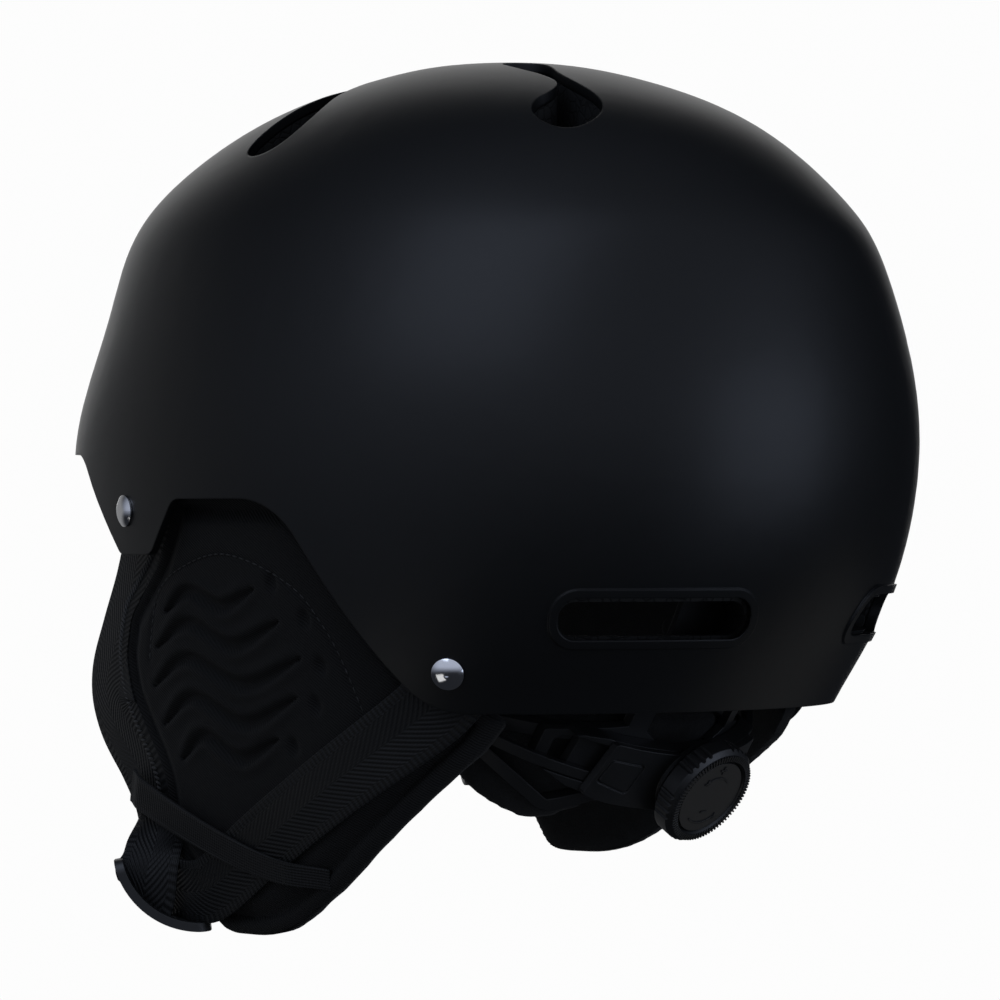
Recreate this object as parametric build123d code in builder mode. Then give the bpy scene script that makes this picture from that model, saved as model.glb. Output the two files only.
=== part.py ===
"""Ski helmet: moulded shell, foam liner, padded ear flaps, chin straps and a dial-adjusted nape cradle.

Millimetres. +Z is up, the wearer faces -Y and the wearer's left is +X. The origin lies level with
the tip of the left ear flap, below the middle of the shell's length and width.
"""
import os
from math import asin, cos, degrees, pi, radians, sin, sqrt, tan

from build123d import *

os.makedirs("parts", exist_ok=True)

# ---------------------------------------------------------------- driving dimensions
shell_length = 267.0
shell_width = 212.0
crown_height = 250.0  # crown above the left ear flap's tip
rim_height = 65.5  # rear rim above the flap's tip
brow_height = 137.0
ear_arch_height = 124.0  # top of the arch that the shell leaves over the ear
temple_height = 108.3  # bottom of the tab in front of the ear
temple_front = -55.9  # Y of the tab's front and back corners
temple_back = -38.5
arch_front = -26.3  # Y of the ear arch's corners
arch_back = 15.0
arch_slope = 1.5  # fall of the rim behind the ear for each millimetre back
foam_edge_lift = 3.5  # the foam ends this far above the shell's rim
shell_wall = 2.6
fit_gap = 0.4  # between the shell, the foam and what lies between them

foam_thickness = 17.0
pad_thickness = 6.0

flap_thickness = 8.0
flap_tuck = 2.5  # how far the flap reaches up behind the shell's arch
right_tip_lift = 17.0  # the right flap's tip is tucked in and ends higher
right_tip_shift = 7.0  # and further back

strap_width = 19.0
strap_thickness = 1.6
strap_inlay = 1.0  # the front strap's face lies this far inside the flap's
keeper_width = 8.0
keeper_thickness = 1.2
lie_gap = 0.3  # between a strap and what it lies on

rivet_head = 9.0
rivet_rise = 2.0
rivet_shank = 4.0
rivet_clearance = 0.15
washer_diameter = 9.0
washer_thickness = 1.0

cradle_tilt = 33.0  # degrees that the dial's axis points down
dial_diameter = 31.2
dial_depth = 7.4
dial_turn = 220.0  # degrees of dial travel
rack_radius = 64.0  # middle of the rack arms, about the cradle's axis
rack_thickness = 2.0
rack_band = 2.2  # height of the band that carries the teeth
tooth_module = 0.75
pinion_teeth = 8
mesh_slack = 0.32  # taken off each tooth at the pitch line
slide_gap = 0.35  # between the rack arms and their channel
housing_wall = 2.0
frame_thickness = 2.5
frame_band = 3.6
nape_pad_thickness = 6.0

# Shares of shell height, half width, front reach and back reach, from below the rim to the crown.
shell_stations = (
    (-0.070, 0.900, 0.942, 0.712),
    (0.080, 0.955, 0.985, 0.830),
    (0.170, 0.980, 1.000, 0.912),
    (0.285, 0.998, 1.000, 0.975),
    (0.405, 1.000, 1.000, 1.000),
    (0.540, 0.965, 0.941, 0.982),
    (0.650, 0.900, 0.905, 0.943),
    (0.730, 0.830, 0.880, 0.896),
    (0.795, 0.750, 0.818, 0.815),
    (0.860, 0.645, 0.700, 0.705),
    (0.915, 0.525, 0.555, 0.570),
    (0.957, 0.390, 0.375, 0.407),
    (0.986, 0.240, 0.200, 0.238),
    (0.9955, 0.136, 0.118, 0.136),
    (0.9992, 0.060, 0.053, 0.060),
)
widest_level = 0.405
front_share = 0.517  # share of the length that lies before the widest section

# ---------------------------------------------------------------- worked out from them
shell_height = crown_height - rim_height
half_width = shell_width / 2
front_reach = front_share * shell_length
back_reach = shell_length - front_reach
mid_y = front_reach - shell_length / 2
widest_height = rim_height + widest_level * shell_height
foam_inset = shell_wall + fit_gap
cavity_inset = foam_inset + foam_thickness
far = shell_length  # longer than any cut needs


def station_share(level, column):
    """Value of one column of the shell's stations at a level, on a smooth curve through them."""
    rows = shell_stations
    low = 0
    while low < len(rows) - 2 and rows[low + 1][0] <= level:
        low += 1

    def slope(row):
        first = max(row - 1, 0)
        last = min(row + 1, len(rows) - 1)
        return (rows[last][column] - rows[first][column]) / (rows[last][0] - rows[first][0])

    step = rows[low + 1][0] - rows[low][0]
    part = (level - rows[low][0]) / step
    start = (1 + 2 * part) * (1 - part) ** 2 * rows[low][column]
    end = part**2 * (3 - 2 * part) * rows[low + 1][column]
    leave = part * (1 - part) ** 2 * step * slope(low)
    arrive = part**2 * (part - 1) * step * slope(low + 1)
    return start + leave + end + arrive


def shell_x(y, z, inset=0.0):
    """Half width of the shell's form at a place below its shoulder, moved in by inset."""
    level = (z - rim_height) / shell_height
    reach, column = (front_reach, 2) if y < mid_y else (back_reach, 3)
    across = station_share(level, column) * (reach - inset)
    return station_share(level, 1) * (half_width - inset) * sqrt(1 - ((y - mid_y) / across) ** 2)


def dome(inset):
    """Closed solid inside the shell's outer surface, moved in by inset all round."""
    with BuildPart() as form:
        for level, wide, front, back in shell_stations:
            height = rim_height + level * shell_height
            if height > widest_height:
                rise = (height - widest_height) / (crown_height - widest_height)
                height = widest_height + rise * (crown_height - widest_height - inset)
            with BuildSketch(Plane.XY.offset(height)):
                with BuildLine():
                    side = wide * (half_width - inset)
                    middle = (0, mid_y)
                    EllipticalCenterArc(middle, side, back * (back_reach - inset), arc_size=180)
                    EllipticalCenterArc(
                        middle, side, front * (front_reach - inset), start_angle=180, arc_size=180
                    )
                make_face()
        loft()
    return form.part


def side_prism(outline, radii, middle_x, depth):
    """Prism along X with an outline in Y and Z, its corners rounded by radii."""
    with BuildPart() as prism:
        with BuildSketch(Plane.YZ.offset(middle_x)):
            with BuildLine():
                FilletPolyline(*outline, radius=radii, close=True)
            make_face()
        extrude(amount=depth / 2, both=True)
    return prism.part


def plan_prism(outline):
    """Prism along Z through the crown, with a smooth closed outline in X and Y."""
    with BuildPart() as prism:
        with BuildSketch(Plane.XY.offset(widest_height)):
            with BuildLine():
                Spline(*outline, periodic=True)
            make_face()
        extrude(amount=crown_height)
    return prism.part


def below_shell_rim():
    """Everything under the shell's rim, seen from the side: brow, temple tab, ear arch and nape."""
    brow_corner = temple_front - (brow_height - temple_height)
    outline = (
        (-far, brow_height),
        (brow_corner, brow_height),
        (temple_front, temple_height),
        (temple_back, temple_height),
        (arch_front, ear_arch_height),
        (arch_back, ear_arch_height),
        (arch_back + (ear_arch_height - rim_height) / arch_slope, rim_height),
        (far, rim_height),
        (far, -far),
        (-far, -far),
    )
    return side_prism(outline, (0, 18, 4, 5, 6, 24, 16, 0, 0, 0), 0, 2 * far)


def below_foam_rim():
    """Everything under the foam's edge, which leaves room for the flaps and their straps."""
    brow = brow_height + foam_edge_lift
    arch = ear_arch_height + foam_edge_lift + 0.5
    rim = rim_height + foam_edge_lift
    outline = (
        (-far, brow),
        (temple_front - 32, brow),
        (temple_front - 16, arch),
        (arch_back + 24, arch),
        (arch_back + 24 + (arch - rim) / arch_slope, rim),
        (far, rim),
        (far, -far),
        (-far, -far),
    )
    return side_prism(outline, (0, 10, 6, 20, 12, 0, 0, 0), 0, 2 * far)


# Vent outlines in plan on the left; the right ones mirror them.
top_vent = ((37, 53), (47, 61), (44, 70), (33, 71), (25, 60), (17, 41), (10, 26), (15, 20), (22, 31))
front_vent = ((60, -18), (67, -25), (63, -36), (52, -37), (36, -35), (20, -33), (15, -27), (22, -21), (42, -20))
slot_middle = Vector(50, 105.5, 91.5)
slot_heading = 35.0  # degrees from straight back
slot_length = 55.0
slot_height = 11.5
slot_lip = 2.4
slot_lip_rise = 0.9


def slot_prism(grow):
    """Prism through the shell's wall for the left rear slot, grown all round by grow."""
    heading = Vector(sin(radians(slot_heading)), cos(radians(slot_heading)), 0)
    along = Vector(cos(radians(slot_heading)), -sin(radians(slot_heading)), 0)
    with BuildPart() as prism:
        with BuildSketch(Plane(slot_middle - heading * 45, x_dir=along, z_dir=heading)):
            length = slot_length + 2 * grow
            height = slot_height + 2 * grow
            RectangleRounded(length, height, height / 2 - 0.6)
        extrude(amount=70)
    return prism.part


def both_sides(part):
    """The left part together with its mirror image on the right."""
    return part + part.mirror(Plane.YZ)


outer_form = dome(0)
inner_form = dome(shell_wall)
foam_form = dome(foam_inset)
cavity_form = dome(cavity_inset)
vent_cuts = both_sides(plan_prism(top_vent) + plan_prism(front_vent))
slot_cuts = both_sides(slot_prism(0))

# ---------------------------------------------------------------- outer shell
lip_form = (dome(-slot_lip_rise) - inner_form) & (both_sides(slot_prism(slot_lip)))
shell_rim = below_shell_rim()

rivet_places = ((-51.6, 120.6), (60.6, 76.7))  # Y and Z of the front and rear rivet


def rivet_plane(y, z, side):
    """Plane on the shell's outer surface at a rivet, its Z pointing outward."""
    step = 1.0
    x = shell_x(y, z)
    back = Vector(shell_x(y + step, z) - shell_x(y - step, z), 2 * step, 0)
    up = Vector(shell_x(y, z + step) - shell_x(y, z - step), 0, 2 * step)
    outward = back.cross(up)
    return Plane(Vector(side * x, y, z), z_dir=Vector(side * outward.X, outward.Y, outward.Z))


rivet_planes = [rivet_plane(y, z, side) for side in (1, -1) for y, z in rivet_places]

with BuildPart() as outer_shell:
    add(outer_form)
    add(lip_form)
    add(inner_form, mode=Mode.SUBTRACT)
    add(shell_rim, mode=Mode.SUBTRACT)
    add(vent_cuts, mode=Mode.SUBTRACT)
    add(slot_cuts, mode=Mode.SUBTRACT)
    for plane in rivet_planes:
        with Locations(plane):
            Cylinder(rivet_shank / 2 + rivet_clearance, 4 * shell_wall, mode=Mode.SUBTRACT)

# ---------------------------------------------------------------- foam liner
foam_rim = below_foam_rim()

with BuildPart() as foam_liner:
    add(foam_form)
    add(cavity_form, mode=Mode.SUBTRACT)
    add(foam_rim, mode=Mode.SUBTRACT)
    add(vent_cuts, mode=Mode.SUBTRACT)
    add(both_sides(slot_prism(-1.0)), mode=Mode.SUBTRACT)

# ---------------------------------------------------------------- comfort pads
pad_seat = cavity_inset + lie_gap
pad_room = dome(pad_seat) - dome(pad_seat + pad_thickness)

brow_pad_drop = 4.0  # the brow pad ends this far above the foam's edge

with BuildPart() as crown_pad:
    with BuildSketch(Plane.XY.offset(widest_height)):
        RectangleRounded(44, 124, 20)
        with Locations((0, 30)):
            RectangleRounded(118, 30, 14)
        with Locations((0, -16)):
            RectangleRounded(100, 26, 12)
    extrude(amount=crown_height)
    add(pad_room, mode=Mode.INTERSECT)
    add(vent_cuts, mode=Mode.SUBTRACT)

with BuildPart() as brow_pad:
    add(pad_room)
    add(
        side_prism(
            ((-far, brow_height + brow_pad_drop), (-56, brow_height + brow_pad_drop),
             (-44, brow_height + 36), (-far, brow_height + 36)),
            (0, 8, 8, 0), 0, 2 * far,
        ),
        mode=Mode.INTERSECT,
    )

with BuildPart() as side_pads:
    add(pad_room)
    add(
        side_prism(((-36, 134), (46, 134), (38, 170), (-28, 170)), (10, 10, 10, 10), 0, 2 * far),
        mode=Mode.INTERSECT,
    )

with BuildPart() as rear_pads:
    add(pad_room)
    add(
        side_prism(((54, 112), (far, 112), (far, 164), (60, 164)), (10, 0, 0, 10), 0, 2 * far),
        mode=Mode.INTERSECT,
    )
    Box(26, far, 2 * far, mode=Mode.SUBTRACT)

# ---------------------------------------------------------------- ear flaps
hinge_front = (-52.0, 106.0)  # Y and Z where the flap starts to swing, in front
hinge_back = (57.0, 64.0)  # and behind the ear
flap_lean = 0.235  # how far the flap comes in for each millimetre down


# Front reach of the flaps' outer face, by the drop below its top.
flap_fronts = ((0.0, 131.4), (25.0, 146.0), (50.0, 170.0), (75.0, 175.0), (105.0, 175.0), (140.0, 175.0))
flap_face_drop = 3.8  # the flap's face inside the shell's outer face, at its top
flap_back_drop = 6.6  # the same at the back
flap_top = ear_arch_height + 8.0


def flap_face_x(y, z, depth=0.0):
    """Half width of the flaps' outer face, moved in by depth, at a place before its middle."""
    drop = flap_top - z
    low = max(row for row in range(len(flap_fronts) - 1) if flap_fronts[row][0] <= drop)
    step = flap_fronts[low + 1][0] - flap_fronts[low][0]
    rise = flap_fronts[low + 1][1] - flap_fronts[low][1]
    front = flap_fronts[low][1] + rise * (drop - flap_fronts[low][0]) / step - depth
    side = half_width - flap_face_drop - flap_lean * drop - depth
    return side * sqrt(1 - ((y - mid_y) / front) ** 2)


def flap_form(depth):
    """Closed solid inside the ear flaps' outer faces, moved in by depth."""
    with BuildPart() as form:
        for drop, front in flap_fronts:
            side = half_width - flap_face_drop - flap_lean * drop - depth
            back = back_reach - flap_back_drop - 0.4 * min(drop, 100.0) - depth
            with BuildSketch(Plane.XY.offset(flap_top - drop)):
                with BuildLine():
                    EllipticalCenterArc((0, mid_y), side, back, arc_size=180)
                    EllipticalCenterArc((0, mid_y), side, front - depth, start_angle=180, arc_size=180)
                make_face()
        loft()
    return form.part


flap_sides = {"left": 1, "right": -1}
tip_lift = {"left": 0.0, "right": right_tip_lift}
tip_shift = {"left": 0.0, "right": right_tip_shift}
flap_radii = (8, 30, 16, 20, 20, 20, 14, 6, 16, 60, 5, 3, 8, 20)


def flap_prism(name, grow=0.0):
    """Prism along X with the side view of an ear flap, grown all round by grow."""
    lift, shift = tip_lift[name], tip_shift[name]
    outline = (
        (-31, ear_arch_height + flap_tuck),
        (-48, 108),
        (-66, 92.5),
        (-71, 80),
        (-70, 67),
        (-56, 44),
        (-47 + shift, 14 + lift),
        (-42 + shift, lift),
        (-15 + shift, lift),
        (12 + shift, 17 + lift),
        (56, 54.5),
        (63, 63),
        (51, 74),
        (19, ear_arch_height + flap_tuck),
    )
    with BuildPart() as prism:
        with BuildSketch(Plane.YZ.offset(flap_sides[name] * half_width)):
            with BuildLine():
                FilletPolyline(*outline, radius=flap_radii, close=True)
            make_face()
            if grow:
                offset(amount=grow)
        extrude(amount=half_width, both=True)
    return prism.part


flap_room = flap_form(0) - flap_form(flap_thickness)


def hinge_prism(shift, far_up):
    """Everything above the line that a flap swings about (or below), shifted up by shift."""
    slope = (hinge_back[1] - hinge_front[1]) / (hinge_back[0] - hinge_front[0])
    ends = [(y, hinge_front[1] + slope * (y - hinge_front[0]) + shift) for y in (-far, far)]
    reach = 2 * far if far_up else -2 * far
    outline = (ends[0], ends[1], (far, reach), (-far, reach))
    return side_prism(outline, (0, 0, 0, 0), 0, 2 * far)


above_hinge = hinge_prism(lie_gap, True)
below_hinge = hinge_prism(-lie_gap, False)


flap_tops = {}
ear_flaps = {}
for name in flap_sides:
    with BuildPart() as flap_head:
        add(flap_prism(name))
        add(flap_room, mode=Mode.INTERSECT)
        add(above_hinge, mode=Mode.INTERSECT)
    flap_tops[name] = flap_head
    with BuildPart() as ear_flap:
        add(flap_prism(name))
        add(flap_room, mode=Mode.INTERSECT)
        add(below_hinge, mode=Mode.INTERSECT)
    ear_flaps[name] = ear_flap

# ---------------------------------------------------------------- chin straps
# Routes in side view, Y and Z: from the rivets to the buckle.
front_top = ((-51.6, 127), (-55, 113), (-62, 99), (-72, 84), (-79.5, 70))
front_routes = {
    "left": (*front_top, (-78.5, 60), (-69.5, 48), (-64.5, 38), (-63.5, 28)),
    "right": (*front_top, (-79.3, 64.5)),
}
rear_routes = {
    "left": ((60.6, 83), (53, 71), (41, 61), (15, 44.8), (-16, 27), (-48, 9.6)),
    "right": ((60.6, 83), (52, 70), (38, 64), (10, 52), (-28, 36)),
}
keeper_routes = {
    "left": ((-74, 41.5), (-51, 32.7), (-31.3, 25.6), (-13, 20.3), (2.6, 18.4)),
    "right": ((-70, 60), (-48, 51), (-22, 41), (-4, 36)),
}


def strap_prism(route, width, side):
    """Prism along X over one side, whose side view is a band along a route."""
    with BuildPart() as prism:
        with BuildSketch(Plane.YZ.offset(side * half_width)):
            with BuildLine() as path:
                Spline(*route)
            trace(path.line, line_width=width)
        extrude(amount=half_width, both=True)
    return prism.part


def layer(form, inner, thickness):
    """Shell of a form that starts at inner outside its face and is this thick."""
    return form(-inner - thickness) - form(-inner)


front_layer = layer(flap_form, -strap_inlay - strap_thickness, strap_thickness)
rear_layer = layer(flap_form, lie_gap, strap_thickness)
keeper_layer = layer(flap_form, strap_thickness + 2 * lie_gap, keeper_thickness)

strap_room = dome(shell_wall + lie_gap)
strap_tops = {}
front_straps = {}
rear_straps = {}
keepers = {}
for name, side in flap_sides.items():
    front_band = strap_prism(front_routes[name], strap_width, side) - flap_prism(name, lie_gap)
    rear_band = strap_prism(rear_routes[name], strap_width, side)
    with BuildPart() as strap_top:
        add(front_layer & front_band)
        add(rear_layer & rear_band)
        add(above_hinge, mode=Mode.INTERSECT)
        add(strap_room, mode=Mode.INTERSECT)
        for plane in rivet_planes:
            with Locations(plane):
                Cylinder(rivet_shank / 2 + rivet_clearance, 8 * shell_wall, mode=Mode.SUBTRACT)
    strap_tops[name] = strap_top
    with BuildPart() as front_strap:
        add(front_layer & front_band)
        add(below_hinge, mode=Mode.INTERSECT)
    front_straps[name] = front_strap
    with BuildPart() as rear_strap:
        add(rear_layer & rear_band)
        add(below_hinge, mode=Mode.INTERSECT)
    rear_straps[name] = rear_strap
    with BuildPart() as keeper:
        add(keeper_layer & strap_prism(keeper_routes[name], keeper_width, side))
    keepers[name] = keeper

# ---------------------------------------------------------------- rivets
shank_lengths = [11.0, 11.0] * 2  # front and rear, from the shell's outer surface
head_seat = 0.05  # gap under a head, because the shell curves away from it
head_edge = 0.5
dome_rise = rivet_rise - head_edge
dome_radius = ((rivet_head / 2) ** 2 + dome_rise**2) / (2 * dome_rise)
dome_middle = asin(rivet_head / 2 / dome_radius) / 2


def axis_profile_plane(plane):
    """Plane through another plane's Z axis, with that axis along its own Y."""
    return Plane(plane.origin, x_dir=plane.x_dir, z_dir=plane.x_dir.cross(plane.z_dir))


with BuildPart() as strap_rivets:
    for plane, length in zip(rivet_planes, shank_lengths):
        with BuildSketch(axis_profile_plane(plane.offset(head_seat))):
            with BuildLine():
                Polyline(
                    (0, rivet_rise),
                    (0, -length),
                    (rivet_shank / 2, -length),
                    (rivet_shank / 2, 0),
                    (rivet_head / 2, 0),
                    (rivet_head / 2, head_edge),
                )
                ThreePointArc(
                    (rivet_head / 2, head_edge),
                    (dome_radius * sin(dome_middle), rivet_rise - dome_radius * (1 - cos(dome_middle))),
                    (0, rivet_rise),
                )
            make_face()
        revolve(axis=Axis(plane.origin, plane.z_dir))

with BuildPart() as rivet_washers:
    for plane, length in zip(rivet_planes, shank_lengths):
        with BuildSketch(plane.offset(-length + 0.3)):
            Circle(washer_diameter / 2)
            Circle(rivet_shank / 2 + rivet_clearance / 2, mode=Mode.SUBTRACT)
        extrude(amount=washer_thickness)

# ---------------------------------------------------------------- nape cradle
cradle_centre = Vector(0, 19.6, 81.7)
tilt = radians(cradle_tilt)
cradle_up = Vector(0, sin(tilt), cos(tilt))  # the cradle's axis
cradle_back = Vector(0, cos(tilt), -sin(tilt))  # the dial's axis
pitch_radius = tooth_module * pinion_teeth / 2
tooth_rise = 0.85 * tooth_module
tooth_depth = 1.2 * tooth_module
rack_bottom = pitch_radius + tooth_depth + rack_band  # from the dial's axis
channel_inner = rack_radius - rack_thickness / 2 - slide_gap
channel_outer = rack_radius + rack_thickness / 2 + slide_gap
housing_inner = channel_inner - housing_wall
housing_outer = channel_outer + housing_wall
channel_half = rack_bottom + slide_gap
housing_top = channel_half + housing_wall
housing_bottom = -channel_half - housing_wall - 1.6
frame_outer = housing_inner - 0.3
frame_inner = frame_outer - frame_thickness
pad_outer = frame_inner - lie_gap
pad_inner = pad_outer - nape_pad_thickness
hanger_x = 20.0
hanger_reach = 44.0  # hanger pins above the dial's axis, along the cradle's axis

ring_plane = Plane(cradle_centre, x_dir=(1, 0, 0), z_dir=cradle_up)
face_plane = Plane(cradle_centre, x_dir=(1, 0, 0), z_dir=-cradle_back)  # X across, Y up the cradle
dial_plane = Plane(cradle_centre, x_dir=(1, 0, 0), z_dir=cradle_back)


def ring(inner, outer, low, high):
    """Hoop about the cradle's axis between two radii and two heights from the dial's axis."""
    with BuildPart() as hoop:
        with BuildSketch(ring_plane.offset(low)):
            Circle(outer)
            Circle(inner, mode=Mode.SUBTRACT)
        extrude(amount=high - low)
    return hoop.part


def behind(sketch_faces):
    """Prism backward through the cradle's hoop from faces drawn on the face plane."""
    return extrude(sketch_faces, amount=-1.3 * rack_radius, mode=Mode.PRIVATE)


def face_outline(points, radii):
    """Faces on the face plane with a rounded outline: X across, Y up the cradle."""
    with BuildSketch(face_plane) as drawing:
        with BuildLine():
            FilletPolyline(*points, radius=radii, close=True)
        make_face()
    return drawing.sketch


def turned(angle):
    """Face plane turned about the cradle's axis, so that its middle lies at this angle."""
    back = cradle_back * cos(radians(angle)) + Vector(1, 0, 0) * sin(radians(angle))
    across = Vector(1, 0, 0) * cos(radians(angle)) - cradle_back * sin(radians(angle))
    return Plane(cradle_centre, x_dir=across, z_dir=-back)


# Rack arms: the left one passes under the pinion, the right one over it.
tooth_step = degrees(tooth_module * pi / rack_radius)  # angle between rack teeth
tooth_width = (tooth_module * pi / 2) - mesh_slack
tooth_flank = tan(radians(20))
travel = radians(dial_turn) * pitch_radius  # whole travel of one arm
arm_inner_end = degrees((travel / 2 + 4.0) / rack_radius)
arm_outer_end = 84.0
teeth_each_side = int(arm_inner_end / tooth_step)
rack_root = pitch_radius + tooth_depth
arm_tab_height = 9.0

with BuildPart() as left_rack_arm:
    with BuildSketch(ring_plane.offset(-rack_bottom)):
        start = 90 - arm_outer_end
        size = arm_outer_end + arm_inner_end
        with BuildLine():
            outer_arc = CenterArc((0, 0), rack_radius + rack_thickness / 2, start, size)
            inner_arc = CenterArc((0, 0), rack_radius - rack_thickness / 2, start, size)
            Line(outer_arc @ 0, inner_arc @ 0)
            Line(outer_arc @ 1, inner_arc @ 1)
        make_face()
    extrude(amount=rack_band)
    with BuildSketch(ring_plane.offset(-rack_root)):
        with BuildLine():
            solid_start = 90 - arm_outer_end
            solid_size = arm_outer_end - arm_inner_end - 2 * tooth_step
            outer_arc = CenterArc((0, 0), rack_radius + rack_thickness / 2, solid_start, solid_size)
            inner_arc = CenterArc((0, 0), rack_radius - rack_thickness / 2, solid_start, solid_size)
            Line(outer_arc @ 0, inner_arc @ 0)
            Line(outer_arc @ 1, inner_arc @ 1)
        make_face()
    extrude(amount=tooth_depth)
    for index in range(-teeth_each_side, teeth_each_side + 1):
        plane = turned((index + 0.5) * tooth_step)
        with BuildSketch(plane.offset(-rack_radius - rack_thickness / 2)):
            root_half = tooth_width / 2 + tooth_depth * tooth_flank
            tip_half = tooth_width / 2 - tooth_rise * tooth_flank
            Polygon(
                (-root_half, -rack_root - 0.1),
                (root_half, -rack_root - 0.1),
                (tip_half, -pitch_radius + tooth_rise),
                (-tip_half, -pitch_radius + tooth_rise),
                align=None,
            )
        extrude(amount=rack_thickness)
    with BuildSketch(turned(arm_outer_end - 5).offset(-rack_radius - rack_thickness / 2)):
        with Locations((0, -rack_bottom + rack_band / 2)):
            SlotOverall(14, arm_tab_height)
            Circle(2.2, mode=Mode.SUBTRACT)
    extrude(amount=rack_thickness)

with BuildPart() as right_rack_arm:
    add(left_rack_arm.part.rotate(Axis(cradle_centre, cradle_back), 180))

# Pinion, dial and their screw turn together about the dial's axis.
cover_boss = 12.5  # radius of the flat seat under the dial
cover_seat = housing_outer + 0.9  # where the dial's back face runs
dial_back = cover_seat + 0.35
dial_front = dial_back + dial_depth
dial_radius = dial_diameter / 2
recess_radius = 11.6
recess_depth = 1.5
bezel_slope = 0.9
cap_thickness = 1.0
grip_groups = 6
grips_per_group = 4
grip_step = 9.0  # degrees between grooves in a group

with BuildPart() as dial_pinion:
    with BuildSketch(dial_plane.offset(rack_radius - rack_thickness / 2)):
        Circle(pitch_radius - tooth_depth + 0.1)
        tip_radius = pitch_radius + tooth_rise
        root_radius = pitch_radius - tooth_depth
        for index in range(pinion_teeth):
            with Locations(Rotation(0, 0, 90 + index * 360 / pinion_teeth)):
                Polygon(
                    (root_radius, -0.62 * tooth_width),
                    (pitch_radius, -tooth_width / 2),
                    (tip_radius, -tooth_width / 4),
                    (tip_radius, tooth_width / 4),
                    (pitch_radius, tooth_width / 2),
                    (root_radius, 0.62 * tooth_width),
                    align=None,
                )
    extrude(amount=rack_thickness)
    with BuildSketch(dial_plane.offset(rack_radius + rack_thickness / 2)):
        Circle(root_radius + 0.1)
    extrude(amount=dial_front - recess_depth - 2.5 - rack_radius - rack_thickness / 2)
    with BuildSketch(dial_plane.offset(dial_front)):
        Circle(0.9)
    extrude(amount=-dial_front + rack_radius, mode=Mode.SUBTRACT)

pinion_shaft = pitch_radius - tooth_depth + 0.1

with BuildPart() as dial_knob:
    with BuildSketch(axis_profile_plane(dial_plane)):
        with BuildLine():
            Polyline(
                (0, dial_back),
                (dial_radius - 1.2, dial_back),
                (dial_radius, dial_back + 1.2),
                (dial_radius, dial_front - 1.6),
                (dial_radius - 1.2, dial_front - 0.3),
                (dial_radius - 2.2, dial_front),
                (recess_radius + bezel_slope, dial_front),
                (recess_radius, dial_front - recess_depth),
                (0, dial_front - recess_depth),
                (0, dial_back),
            )
        make_face()
    revolve(axis=Axis(cradle_centre, cradle_back))
    with BuildSketch(dial_plane.offset(dial_back)):
        for group in range(grip_groups):
            for index in range(grips_per_group):
                angle = group * 360 / grip_groups + index * grip_step
                with PolarLocations(dial_radius + 0.25, 1, start_angle=angle):
                    Circle(0.8)
    extrude(amount=dial_depth - 1.0, mode=Mode.SUBTRACT)
    with BuildSketch(dial_plane.offset(dial_back)):
        Circle(pinion_shaft + 0.05)
    extrude(amount=dial_depth, mode=Mode.SUBTRACT)
    with BuildSketch(dial_plane.offset(dial_front - recess_depth)):
        Circle(2.6)
    extrude(amount=-1.5, mode=Mode.SUBTRACT)
    with BuildSketch(dial_plane.offset(dial_back)):
        Circle(10.4)
        Circle(8.6, mode=Mode.SUBTRACT)
    extrude(amount=1.0, mode=Mode.SUBTRACT)

with BuildPart() as dial_screw:
    with BuildSketch(dial_plane.offset(dial_front - recess_depth - 1.45)):
        Circle(2.4)
    extrude(amount=1.3)
    with BuildSketch(dial_plane.offset(dial_front - recess_depth - 1.45)):
        Circle(0.85)
    extrude(amount=-7.0)

with BuildPart() as dial_cap:
    with BuildSketch(dial_plane.offset(dial_front - recess_depth + 0.1)):
        Circle(recess_radius - 0.15)
    extrude(amount=cap_thickness)

# Housing: an inner tray that guides both arms, with open end loops, and an outer cover.
cover_half = 33.0
loop_end = 43.5
loop_window = 35.5
screw_angle = 21.0
screw_height = (-channel_half + housing_bottom) / 2
screw_radius = 1.0
screw_head = 2.0


def mirrored(points):
    """Outline of a shape that is the same on both sides, from its right half, top to bottom."""
    return [*points, *((-x, y) for x, y in reversed(points))]


tray_outline = mirrored(
    [(31, housing_top), (37, housing_top - 1), (loop_end, 4), (loop_end, -6), (36, housing_bottom + 1),
     (27, housing_bottom)]
)
cover_outline = mirrored(
    [(cover_half - 3, housing_top), (cover_half, housing_bottom + 0.8), (26, housing_bottom)]
)
window_outline = [(loop_window, 5.5), (loop_end - 4, 4.2), (loop_end - 2.6, 2), (loop_end - 2.6, -4.6),
                  (loop_window + 1, -7)]
panel_outline = [(19.5, 3.6), (29.2, 3.6), (31, -4), (21.5, -6)]
panel_groove = 0.45

window_cut = behind(face_outline(window_outline, 1.0))
screw_planes = [turned(side * screw_angle) for side in (1, -1)]

with BuildPart() as dial_housing:
    add(ring(housing_inner, channel_outer, housing_bottom, housing_top))
    add(behind(face_outline(tray_outline, 1.5)), mode=Mode.INTERSECT)
    add(
        ring(channel_inner, channel_outer + 1, -channel_half, channel_half),
        mode=Mode.SUBTRACT,
    )
    add(both_sides(window_cut), mode=Mode.SUBTRACT)
    for plane in screw_planes:
        with BuildSketch(plane.offset(-housing_inner + 1)):
            with Locations((0, screw_height)):
                Circle(screw_radius + 0.1)
        extrude(amount=-rack_radius + housing_inner - 1, mode=Mode.SUBTRACT)

cover_room = ring(channel_outer + 0.1, housing_outer, housing_bottom, housing_top)
panel_room = ring(housing_outer - panel_groove, housing_outer + 1, housing_bottom, housing_top)
with BuildSketch(face_plane) as panel_lines:
    with BuildLine() as panel_edge:
        FilletPolyline(*panel_outline, radius=1.0, close=True)
    trace(panel_edge.line, line_width=0.7)
panel_cut = panel_room & behind(panel_lines.sketch)

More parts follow.
